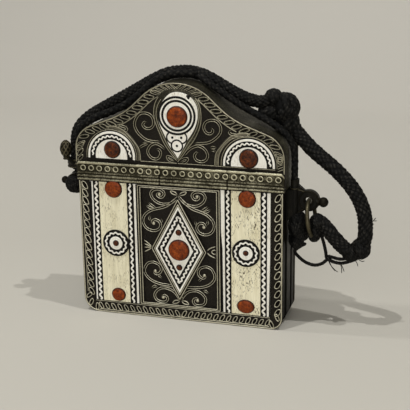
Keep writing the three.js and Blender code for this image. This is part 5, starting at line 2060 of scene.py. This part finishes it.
    def make_panel(self) -> None:
        """Makes the panel's frame lines and its scrolls."""
        o = self.ornament
        loops = []
        for half, low, high in self.panel_loops:
            loops.append(edge_points([(-half, low), (half, low), (half, high), (-half, high), (-half, low)], 40))
        frame_lines = o.ridges(loops, self.panel_face, scaled(THREAD, 1.0, 1.1), True)
        self.add("panel_frame_lines", frame_lines, RELIEF, Slot.SILVER)
        lines = [smooth_line(route, SCROLL_STEP) for route in PANEL_SCROLLS]
        lines += [mirrored(line, self.left_stretch) for line in lines]
        wires = o.ridges(lines, self.face, WIRE, taper=2.2)
        tips = [*PANEL_FAN, *PANEL_LEAVES, *([(-x, z) for x, z in leaf] for leaf in PANEL_LEAVES)]
        tips = [smooth_line(tip, SCROLL_STEP) for tip in tips]
        fans = o.ridges(tips, self.face, scaled(THREAD, 1.3, 1.5), taper=1.5)
        buds = []
        for x, z in PANEL_BUDS:
            for stretch in (1.0, -self.left_stretch):
                buds.append(ellipsoid((stretch * x, self.face - 0.1, z), self.bud_size, 8, 14))
                buds[-1].crest[:] = self.bud_crest
        self.add("panel_scrolls", joined([wires, fans, *buds]), RELIEF, Slot.SILVER)

    def make_back(self) -> None:
        """Makes the bead round the back plate."""
        lines = [self.outline(inset) for inset in (self.bead_inset, self.inner_inset)]
        self.add_back_bead("body_back_bead", lines, self.back)

    def make(self) -> None:
        """Builds and dresses the body."""
        self.dress_nodes()
        self.make_border()
        self.make_strips()
        self.make_strip_lines()
        self.make_rosettes()
        self.make_corals()
        self.make_lozenge()
        self.make_panel()
        self.make_back()


def paint(finishes: dict[Finish, list[str]]) -> None:
    """Gives CAD nodes their finishes.

    Args:
        finishes: Node names by finish.
    """
    for finish, names in finishes.items():
        for name in names:
            node = frame["nodes"][name]
            node.data.materials.clear()
            node.data.materials.append(finish.material())


# The lid


@dataclass(frozen=True)
class HalfRound:
    """One half-round plaque: its place, the radii of its rings from outside in, and its coral."""

    side: Side
    centre: Place
    frame: float
    white: float
    black: float
    wave: float
    heart: float
    coral: Place
    coral_size: Place


HALF_ROUNDS = (
    HalfRound(Side.LEFT, (-38.7, 96.1), 15.3, 14.05, 12.85, 11.25, 9.5, (-38.0, 99.8), (4.7, 4.7)),
    HalfRound(Side.RIGHT, (41.0, 95.6), 15.9, 14.45, 13.3, 11.85, 10.0, (40.95, 99.25), (5.1, 5.2)),
)


LID_SCROLLS: Sequence[Flat] = [
    (
        (-9.5, 105.6), (-14, 105.6), (-18.1, 106.5), (-21.3, 108.8), (-23.5, 111.5), (-24.5, 114.7),
        (-23.5, 118.2), (-21.3, 120.8), (-18.1, 121.5), (-14.9, 120.4), (-13.4, 117.9), (-13.5, 114.9),
        (-15.4, 113.0), (-18.1, 113.0), (-19.6, 114.7), (-18.6, 116.3), (-17.0, 116.0),
    ),
    (
        (-6.9, 101.1), (-9, 103.2), (-12.2, 104.5), (-15.4, 103.2), (-17.2, 99.9), (-15.9, 96.9), (-13.1, 95.6),
        (-10.6, 96.7), (-9.6, 99.5), (-10.9, 101.3), (-12.5, 101.0),
    ),
    ((-22.6, 101.1), (-20.6, 102.6), (-18.4, 103.8), (-16.2, 104.6)),
    ((-21.0, 103.9), (-19.0, 104.3), (-16.6, 105.0)),
    ((-36.7, 112.6), (-33.0, 113.6), (-29.4, 112.4), (-29.8, 110.9), (-32.6, 111.2)),
    ((-0.9, 95.4), (-3.2, 96.8), (-5.8, 97.6), (-4.8, 95.6), (-2.4, 94.7), (-0.9, 95.4)),
    (
        (9.5, 105.6), (14, 106.0), (18.6, 106.9), (22.4, 109.4), (24.9, 112.6), (25.0, 116.0), (22.8, 118.8),
        (19.6, 119.2), (16.8, 118.0), (15.6, 115.4), (16.4, 112.8), (18.6, 111.6), (20.6, 112.8), (20.2, 114.4),
        (18.8, 114.4),
    ),
    (
        (3.6, 98.2), (6.2, 101.4), (9.2, 103.6), (12.6, 104.5), (16.0, 102.8), (17.6, 99.6), (16.6, 96.9),
        (14.0, 95.7), (11.2, 96.4), (10.0, 98.6), (11.0, 100.6), (12.6, 100.4),
    ),
    ((18.4, 103.6), (20.6, 104.2), (23.2, 103.8)),
    ((18.8, 102.6), (21.0, 102.4), (23.0, 101.8)),
    ((36.6, 111.9), (33.4, 111.8), (30.8, 112.2), (30.0, 113.4), (31.4, 114.0)),
    ((1.3, 95.2), (3.4, 96.6), (6.0, 97.0), (5.0, 95.1), (3.0, 94.4), (1.3, 95.2)),
]
BAND_PROFILE: Flat = (
    (0.0, 0.0), (0.0, 0.65), (0.2, 1.05), (0.75, 1.3), (1.3, 1.1), (1.55, 0.75), (1.75, 0.75), (2.0, 1.05),
    (2.5, 1.2), (3.05, 1.1), (3.3, 0.75), (3.5, 0.75), (3.75, 1.0), (4.2, 1.15), (4.7, 1.0), (4.95, 0.8),
    (6.0, 0.85), (7.4, 0.88), (8.6, 0.85), (8.8, 0.95), (9.05, 1.35), (9.5, 1.5), (9.95, 1.35), (10.25, 0.9),
    (10.3, 0.0),
)


@dataclass
class Lid(Assembly):
    """The slip-on lid: ogee plates, rim, hem band, teardrop and half-round plaques."""

    body: Body = Body.LID
    half: float = 61.0
    face: float = -17.0
    back: float = 17.0
    cap_z: float = 110.2
    cap_radius: float = 29.0
    flank: float = 43.2
    hollow: Place = (55.55, 159.27)
    hollow_radius: float = 44.8
    fall: float = 20.8
    shoulder: Place = (46.4, 99.21)
    shoulder_radius: float = 14.6
    bead_foot: float = 91.4
    back_foot: float = 81.2
    line_inset: float = 5.8
    line_reach: Place = (8.5, 34.0)
    foot_lines: Sequence[Flat] = (((0.4, 93.9), (55.6, 93.6)), ((-0.4, 93.9), (-21.7, 93.9)))
    tick: Place = (2.9, 1.3)
    tick_feet: Flat = ((56.7, 95.6), (56.8, 94.2), (56.9, 92.8))
    band_low: float = 80.9
    band_high: float = 92.1
    band_half: float = 60.5
    band_face: float = -17.05
    band_corner: float = 2.2
    band_ends: Spot = (59.6, 60.0, 60.3)
    circle_route: Flat = ((-56.4, 88.3), (57.4, 88.3))
    circle_face: float = -17.86
    circle_pitch: float = 4.75
    seams: Place = (-10.5, 28.5)
    drop_bone: Flat = (
        (0.5, 97.0), (2.0, 99.7), (4.2, 103.5), (6.1, 107.2), (8.4, 110.5), (10.5, 114.2), (12.0, 118.5),
        (12.4, 121.5), (12.3, 125.0), (11.2, 128.1), (8.8, 131.2), (5.2, 133.3), (0.8, 134.0), (-2.6, 133.3),
        (-5.2, 131.4), (-7.7, 128.2), (-9.7, 124.6), (-10.4, 120.8), (-9.9, 117.0), (-8.5, 113.2),
        (-6.8, 109.7), (-4.2, 104.2), (-0.9, 99.3), (0.5, 97.0),
    )
    drop_frame: Flat = (
        (0.4, 94.7), (3.5, 98.4), (6.5, 102.6), (9.8, 106.7), (12.3, 111.2), (14.0, 115.9), (14.6, 120.6),
        (14.0, 126.1), (12.3, 130.0), (9.2, 133.2), (5.2, 135.2), (0.7, 135.8), (-4.2, 135.2), (-8.2, 133.2),
        (-11.0, 130.2), (-12.6, 126.6), (-13.2, 122.4), (-12.9, 118.6), (-11.8, 114.9), (-10.3, 111.2),
        (-8.5, 106.7), (-6.6, 103.4), (-4.2, 100.1), (0.4, 94.7),
    )
    drop_rings: Sequence[Place] = ((8.85, 7.6), (10.9, 9.65))
    ring_centre: Place = (0.45, 120.95)
    drop_coral: Place = (0.65, 120.45)
    drop_coral_size: Place = (5.75, 5.65)
    drop_eyes: Sequence[tuple[Place, float, float]] = (
        ((-2.3, 108.65), 128, 262), ((2.87, 108.8), 52, -82), ((0.28, 104.1), 0, 359.9),
    )
    chip: Place = (7.4, 131.7)
    bone_face: float = -18.1
    bone_back: float = -17.0
    plate_face: float = -17.6
    plate_back: float = -16.95
    plaque_foot: float = 94.4
    plaque_wave: Spot = (0.8, 2.7, 0.42)
    eye_arc: Place = (3.65, 2.8)
    eye_dot: float = 0.72
    chip_size: float = 1.15
    ridge_gap: float = 131.5
    ridge_shares: Place = (0.12, 0.62)

    def half_outline(self, inset: float, low: float) -> Array:
        """The right half of the lid's outline, from the top down.

        Args:
            inset: Distance inside the edge.
            low: z where it ends.

        Returns:
            Its points.
        """
        parts = [
            arc((0, self.cap_z), self.cap_radius - inset, 90, 90 - self.flank, 24),
            arc(self.hollow, self.hollow_radius + inset, -90 - self.flank, -90 - self.fall, 18),
            arc(self.shoulder, self.shoulder_radius - inset, 90 - self.fall, 0, 20),
            np.array([[self.half - inset, low]]),
        ]
        return even_line(np.concatenate(parts), 0.6)

    def outline(self, inset: float, low: float) -> Array:
        """The whole outline, from bottom left over the top to bottom right."""
        right = self.half_outline(inset, low)
        return np.concatenate([mirrored(right[::-1]), right[1:]])

    def bow(self, plaque: HalfRound, radius: float) -> Array:
        """A half-round's outline from its right foot over the top to its left foot."""
        x, z = plaque.centre
        foot = self.plaque_foot
        return np.concatenate([[[x + radius, foot]], arc((x, z), radius, 0, 180, 40), [[x - radius, foot]]])

    def dress_nodes(self) -> None:
        """Gives the CAD nodes that stay their finishes."""
        # The rim takes the finish darkened as painted shade
        paint({GROUND: ["lid_front_plate"], SHADED_RIM: ["lid_rim"], BACK: ["lid_back_plate"]})

    def make_border(self) -> None:
        """Makes the lid's edge bead, leaf cells and inner lines."""
        o = self.ornament
        bead = o.ridges([self.outline(self.bead_inset, self.bead_foot)], self.face, BEAD)
        inner = self.half_outline(self.line_inset, 93)
        first, last = self.line_reach
        inner = inner[(inner[:, 0] > first) & (inner[:, 0] < last)]
        lines = o.ridges([inner, mirrored(inner)], self.face, scaled(THREAD, 1.2, 1.3))
        across, up = self.tick
        ticks = [((x, z), (x + across, z + up)) for x, z in self.tick_feet]
        foot = [np.array(line) for line in (*self.foot_lines, *ticks)]
        lines = joined([lines, o.ridges(foot, self.face, THREAD)])
        self.add("lid_edge_bead", joined([bead, lines]), LID_RELIEF, Slot.SILVER)
        route = self.half_outline(3.3, 101)
        top = route[:, 0] < 11.5
        circle = self.half_outline(3.0, 90)
        circle = circle[(circle[:, 1] < 100.2) & (circle[:, 1] > 98)]
        row = joined(
            [
                o.row(route[top], self.face, CAP_LEAF, 2.5, seed=7),
                o.row(route[~top], self.face, LID_LEAF, 4.6, size=0.9, seed=12),
            ]
        )
        foot_cells = o.row(self.half_outline(3.0, 93.8)[-12:], self.face, LID_LEAF, 3.1, size=0.72, seed=3)
        rows = [row, row.mirrored(), o.row(circle, self.face, EYELET, 5.0, seed=2), foot_cells.mirrored()]
        self.add("lid_border_leaves", joined(rows), LID_RELIEF, Slot.SILVER)

    def make_band(self) -> None:
        """Makes the hem band with its ribs and struck circles."""
        rise, out = np.array(BAND_PROFILE).T
        tall = self.band_high - self.band_low
        rise = rise * tall / BAND_PROFILE[-1][0]
        ends = np.array(self.band_ends)
        xs = np.unique(np.concatenate([np.linspace(-self.band_half, self.band_half, 161), -ends, ends]))
        points, crest = [], []
        for x in xs:
            over = max(0.0, abs(x) - (self.band_half - self.band_corner))
            drop = self.band_corner - math.sqrt(max(0.0, self.band_corner**2 - over**2))
            end = math.sqrt(max(0.0, 1 - (over / self.band_corner) ** 4)) * 0.9 + 0.1
            seam = 0.3 * sum(math.exp(-(((x - place) / 0.4) ** 2)) for place in self.seams)
            dent = 0.05 * math.sin(x * 0.55) + 0.04 * math.sin(x * 1.7 + 1)
            height = (tall - drop) / tall
            depth = out * end - (seam + dent) * (out > 0.7) * end
            z = self.band_low + rise * height
            points.append(np.stack([np.full(len(out), x), self.band_face - depth, z], 1))
            plain = 0.16 * ((rise > 5.2) & (rise < 9.6)) - 0.4 * (seam > 0.1)
            crest.append(np.clip((out - 0.8) / 0.55, 0, 1) * 0.68 + 0.16 + plain)
        count = len(out)
        flat = np.concatenate(points)
        faces = grid_faces(len(xs), count, False, True)
        faces += [tuple(range(count)), tuple(reversed(range(len(flat) - count, len(flat))))]
        band = Shape(flat, faces, np.concatenate(crest))
        line = np.array(self.circle_route)
        circles = self.ornament.row(line, self.circle_face, EYELET, self.circle_pitch, follow=0.0, jitter=0.04)
        self.add("hem_band_ribbed", joined([band, circles]), BAND, Slot.SILVER, "hem_band")

    def make_scrolls(self) -> None:
        """Makes the scrolls between the plaques."""
        o = self.ornament
        wires = o.ridges([smooth_line(route, SCROLL_STEP) for route in LID_SCROLLS], self.face, WIRE, taper=2.2)
        sides, middles = [], []
        for sign in (1, -1):
            for shift, lines in ((0.2, sides), (1.2, middles), (2.2, sides)):
                line = [
                    (41.5, 110.5 + shift), (36.5, 110.8 + shift), (31.2, 109.2 + shift * 0.8),
                    (27.3, 105.9 + shift * 0.6), (25.0 - shift, 101.8), (24.0 - shift, 98), (23.8 - shift, 94.1),
                ]
                lines.append(smooth_line([(sign * x, z) for x, z in line], SCROLL_STEP))
        bands = o.ridges(sides, self.face, scaled(THREAD, 1.4, 1.1))
        self.add("lid_scrolls", joined([wires, bands]), LID_RELIEF, Slot.SILVER)
        flat = o.ridges(middles, self.face, ribbon(2.2, 0.28))
        self.add("lid_flat_bands", flat, FRAME, Slot.SILVER)

    def make_teardrop(self) -> tuple[list[Shape], list[Shape]]:
        """Makes the teardrop's frame plate and white plate.

        Returns:
            The ridges of its frame, and its black rings and dots.
        """
        front, back = self.bone_face - 0.05, self.bone_face + 0.1
        outer = smooth_line(self.drop_frame, 0.5)[:-1]
        inner = smooth_line(self.drop_bone, 0.5)
        at = np.linspace(0, 1, len(outer))
        inner = np.stack([np.interp(at, np.linspace(0, 1, len(inner)), inner[:, k]) for k in (0, 1)], 1)[:-1]
        outer = outer[:-1]
        plate = disc(outer, self.plate_face, self.plate_back)
        # The frame plate shares the rim's finish with its painted shade
        self.add("teardrop_frame_plate", plate, SHADED_RIM, Slot.SILVER, "teardrop_frame")
        plate = disc(inner, self.bone_face, self.bone_back)
        self.add("teardrop_white", plate, WHITE, Slot.WHITE_BONE, "teardrop_bone", smooth=False)
        low = outer[:, 1] < self.ridge_gap
        turn, end = int(np.argmax(~low)), len(low) - int(np.argmax(~low[::-1]))
        ridges = []
        for share in self.ridge_shares:
            edge = outer + (inner - outer) * share
            ridges.append(self.ornament.ridges([edge[:turn], edge[end:]], self.plate_face, THREAD))
        lines = []
        for radii in self.drop_rings:
            outside, inside = (circle_line(self.ring_centre, radius, 96) for radius in radii)
            lines.append(cake(outside, front, -17.3, inside))
        for where, first, last in self.drop_eyes:
            outside, inside = (arc(where, radius, first, last, 48) for radius in self.eye_arc)
            lines.append(arch(outside, inside, front, back))
            lines.append(disc(circle_line(where, self.eye_dot, 20), front - 0.04, back, 0.03))
        lines.append(disc(circle_line(self.chip, self.chip_size, 24, 3, 0.25), front, back, 0.02))
        return ridges, lines

    def make_half_round(self, plaque: HalfRound) -> tuple[Shape, list[Shape], Shape]:
        """Makes a half-round's frame plate, white plate and coral.

        Args:
            plaque: The plaque.

        Returns:
            The ridge of its frame, its black parts with the painted shade round its coral, and its white wave.
        """
        o, side = self.ornament, plaque.side.word
        front, back = self.bone_face - 0.05, self.bone_face + 0.1
        plate = disc(self.bow(plaque, plaque.frame), self.plate_face, self.plate_back)
        self.add(f"halfround_frame_plate_{side}", plate, GROUND, Slot.SILVER, f"halfround_frame_{side}")
        plate = disc(self.bow(plaque, plaque.white), self.bone_face, self.bone_back)
        self.add(f"halfround_white_{side}", plate, WHITE, Slot.WHITE_BONE, f"halfround_bone_{side}", smooth=False)
        edge = even_line(self.bow(plaque, plaque.frame - 0.3), 0.5)
        ridge = o.ridges([edge], self.plate_face, scaled(THREAD, 1.0, 0.9))
        black = [arch(self.bow(plaque, plaque.black), self.bow(plaque, plaque.heart), front, back)]
        wave = o.wave(even_line(self.bow(plaque, plaque.wave)[1:-1], 0.4), front, *self.plaque_wave)
        dome = coral_dome(plaque.coral, plaque.coral_size, self.bone_face, 0.02, plaque.white)
        # Painted shade in the gap round the coral
        black.append(coral_seat(plaque.coral, plaque.coral_size, self.bone_face))
        self.add(f"dome_halfround_{side}", dome, DARK_CORAL, Slot.DARK_CORAL, f"halfround_coral_{side}")
        return ridge, black, wave

    def make_plaques(self) -> None:
        """Makes the three plaques: dark frames with thin ridges, white plates, black rings, painted shade round the
        corals, and waves.
        """
        ridges, lines = self.make_teardrop()
        waves = []
        for plaque in HALF_ROUNDS:
            ridge, black, wave = self.make_half_round(plaque)
            ridges.append(ridge)
            lines += black
            waves.append(wave)
        dome = coral_dome(self.drop_coral, self.drop_coral_size, self.bone_face, 0.012, 2.0)
        # Painted shade in the gap round the teardrop's coral
        lines.append(coral_seat(self.drop_coral, self.drop_coral_size, self.bone_face))
        self.add("dome_teardrop", dome, CORAL, Slot.CORAL, "teardrop_coral")
        self.add("plaque_ridges", joined(ridges), LID_RELIEF, Slot.SILVER)
        self.add("plaque_black_rings", joined(lines), BLACK, Slot.INLAY, smooth=False)
        self.add("plaque_whites", joined(waves), WHITE, Slot.WHITE_BONE)

    def make_back(self) -> None:
        """Makes the beads round the lid's back plate."""
        lines = [self.outline(inset, self.back_foot) for inset in (self.bead_inset, self.inner_inset)]
        self.add_back_bead("lid_back_bead", lines, self.back)

    def make(self) -> None:
        """Builds and dresses the lid."""
        self.dress_nodes()
        self.make_border()
        self.make_band()
        self.make_scrolls()
        self.make_plaques()
        self.make_back()


def arch(outer: Array, inner: Array, front: float, back: float) -> Shape:
    """A thin arch on the face between two open lines with as many points.

    Args:
        outer: Its outer line.
        inner: Its inner line.
        front: y of its front.
        back: y of its back.

    Returns:
        The arch, its feet closed.
    """
    count = len(outer)
    loops = [(outer, back), (outer, front), (inner, front), (inner, back)]
    points = np.stack([on_face(line, y) for line, y in loops], 1).reshape(-1, 3)
    faces = grid_faces(count, 4, False, True)
    faces += [(3, 2, 1, 0), tuple(len(points) - 4 + k for k in range(4))]
    return Shape(points, faces, np.full(len(points), 0.5))


# The side fittings


def hoop(centre: Sequence[float], axis: Sequence[float], radius: float, wire: float, count: int = 36) -> Shape:
    """A round ring of wire.

    Args:
        centre: Its centre.
        axis: Its axis.
        radius: Radius of its middle line.
        wire: Radius of its wire.
        count: Steps round it.

    Returns:
        The ring.
    """
    first = np.array(Vector(axis).orthogonal().normalized())
    second = np.cross(np.array(Vector(axis).normalized()), first)
    a = np.linspace(0, TAU, count + 1)[:, None]
    line = np.array(centre, float) + radius * (np.cos(a) * first + np.sin(a) * second)
    return tube(line, wire, 10, closed=True)


@dataclass
class SideFittings:
    """The lugs on both sides, with rolled rims and beads, and the wire ring."""

    tube: Place = (63.1, -2.5)
    tube_radius: float = 2.75
    tube_ends: Place = (61.6, 80.1)
    eye: Spot = (71.4, -2.5, 73.6)
    ball: Spot = (79.4, -2.5, 73.0)
    ball_radius: float = 2.7
    ring_centre: Spot = (72.83, -2.5, 63.4)
    ring_radius: float = 10.3
    ring_lean: float = 8.0
    wire: float = 1.2
    web_edges: Sequence[Flat] = (
        ((65.0, 79.6), (67.0, 79.2), (69.2, 78.6)),
        ((65.0, 66.0), (66.8, 67.4), (68.6, 68.8)),
    )
    left_eye: Spot = (-69.0, 0.0, 73.6)
    left_ball: Spot = (-76.2, 0.0, 74.9)
    left_ball_radius: float = 2.1
    lid_eye: Place = (-69.3, 3.0)
    lid_eye_radius: float = 5.2
    bead: Spot = (-72.8, -4.2, 95.0)
    bead_size: Spot = (3.4, 3.1, 4.8)
    collars: Spot = (83.4, 85.5, 87.6)
    bead_collars: Flat = ((-4.9, 1.5), (-5.9, 1.6), (4.7, 0.9))
    eye_rim: Place = (5.35, 0.5)
    bore_rim: Place = (2.6, 0.42)
    rim_crest: float = 0.3
    ring_crest: float = 0.8
    plate_half: float = 1.5

    def dress_nodes(self) -> None:
        """Gives the lugs' CAD nodes their finish."""
        # The lugs take the side walls' finish, darkened as painted shade
        paint({SHADED_DARK: ["body_lug_right", "body_lug_left", "lid_lug_left"], SHADED_RIM: ["cord_ring"]})

    def eye_rims(self, eye: Spot, ball: Spot, ball_radius: float) -> list[Shape]:
        """The rolled rims on an eye plate's faces, and its ball with a collar.

        Args:
            eye: The eye's centre; its bore runs along y.
            ball: The ball's centre.
            ball_radius: The ball's radius.

        Returns:
            The shapes.
        """
        centre, end = np.array(eye), np.array(ball)
        shapes = []
        for y in (-self.plate_half, self.plate_half):
            face = centre + np.array((0, y, 0))
            shapes += [hoop(face, (0, 1, 0), *rim) for rim in (self.eye_rim, self.bore_rim)]
        way = (end - centre) / np.linalg.norm(end - centre)
        shapes.append(hoop(end - way * ball_radius * 0.85, way, ball_radius * 0.72, 0.45, 24))
        shapes.append(hoop(end, way, ball_radius * 0.97, 0.22, 24))
        cap = ellipsoid(end, np.full(3, ball_radius * 1.05))
        for shape in (*shapes, cap):
            shape.crest[:] = self.rim_crest
        return [*shapes, cap]

    def make_right(self) -> None:
        """Makes the right lug's rims, ribs and ball."""
        shapes = self.eye_rims(self.eye, self.ball, self.ball_radius)
        for z in self.tube_ends:
            shapes.append(hoop((*self.tube, z), UP, self.tube_radius, 0.42))
        for shift in (-self.plate_half, self.plate_half):
            for edge in self.web_edges:
                line = smooth_line([(x, self.eye[1] + shift, z) for x, z in edge], 0.4)
                shapes.append(tube(line, 0.42, 8))
        settle(build("lug_right_rims", joined(shapes), DARK_RELIEF), Body.CASE, Slot.DARK_SILVER)

    def make_left(self) -> None:
        """Makes the left lug's rims and ball."""
        shapes = self.eye_rims(self.left_eye, self.left_ball, self.left_ball_radius)
        settle(build("lug_left_rims", joined(shapes), DARK_RELIEF), Body.CASE, Slot.DARK_SILVER)

    def make_lid_lug(self) -> None:
        """Makes the lid lug's collars and its bead with crossed ribs."""
        x, y, z = self.bead
        shapes = [hoop((*self.lid_eye, high), UP, self.lid_eye_radius, 0.5, 48) for high in self.collars]
        shapes.append(ellipsoid(self.bead, np.array(self.bead_size) * 0.98, 40, 48, 0.09))
        shapes += [hoop((x, y, z + lift), UP, reach, 0.4, 24) for lift, reach in self.bead_collars]
        settle(build("lid_lug_bead", joined(shapes), DARK_RELIEF), Body.LID, Slot.DARK_SILVER)

    def make_ring(self) -> None:
        """Makes the wire ring in place of its node."""
        lean = math.radians(self.ring_lean)
        shape = hoop(self.ring_centre, (math.cos(lean), 0, math.sin(lean)), self.ring_radius, self.wire, 96)
        shape.crest[:] = self.ring_crest
        settle(build("ring_wire", shape, DARK_RELIEF), Body.RING, Slot.SILVER, "cord_ring")

    def make(self) -> None:
        """Builds and dresses the fittings."""
        self.dress_nodes()
        self.make_right()
        self.make_left()
        self.make_lid_lug()
        self.make_ring()


def main() -> None:
    """Builds the studio, the cord, the body, the lid and the fittings, in this order."""
    logging.basicConfig(level=logging.INFO, format="%(message)s")
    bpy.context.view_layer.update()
    Studio().make()
    Cordage().make()
    ornament = Ornament()
    CaseBody(ornament).make()
    Lid(ornament).make()
    SideFittings().make()


if __name__ == "__main__":
    main()
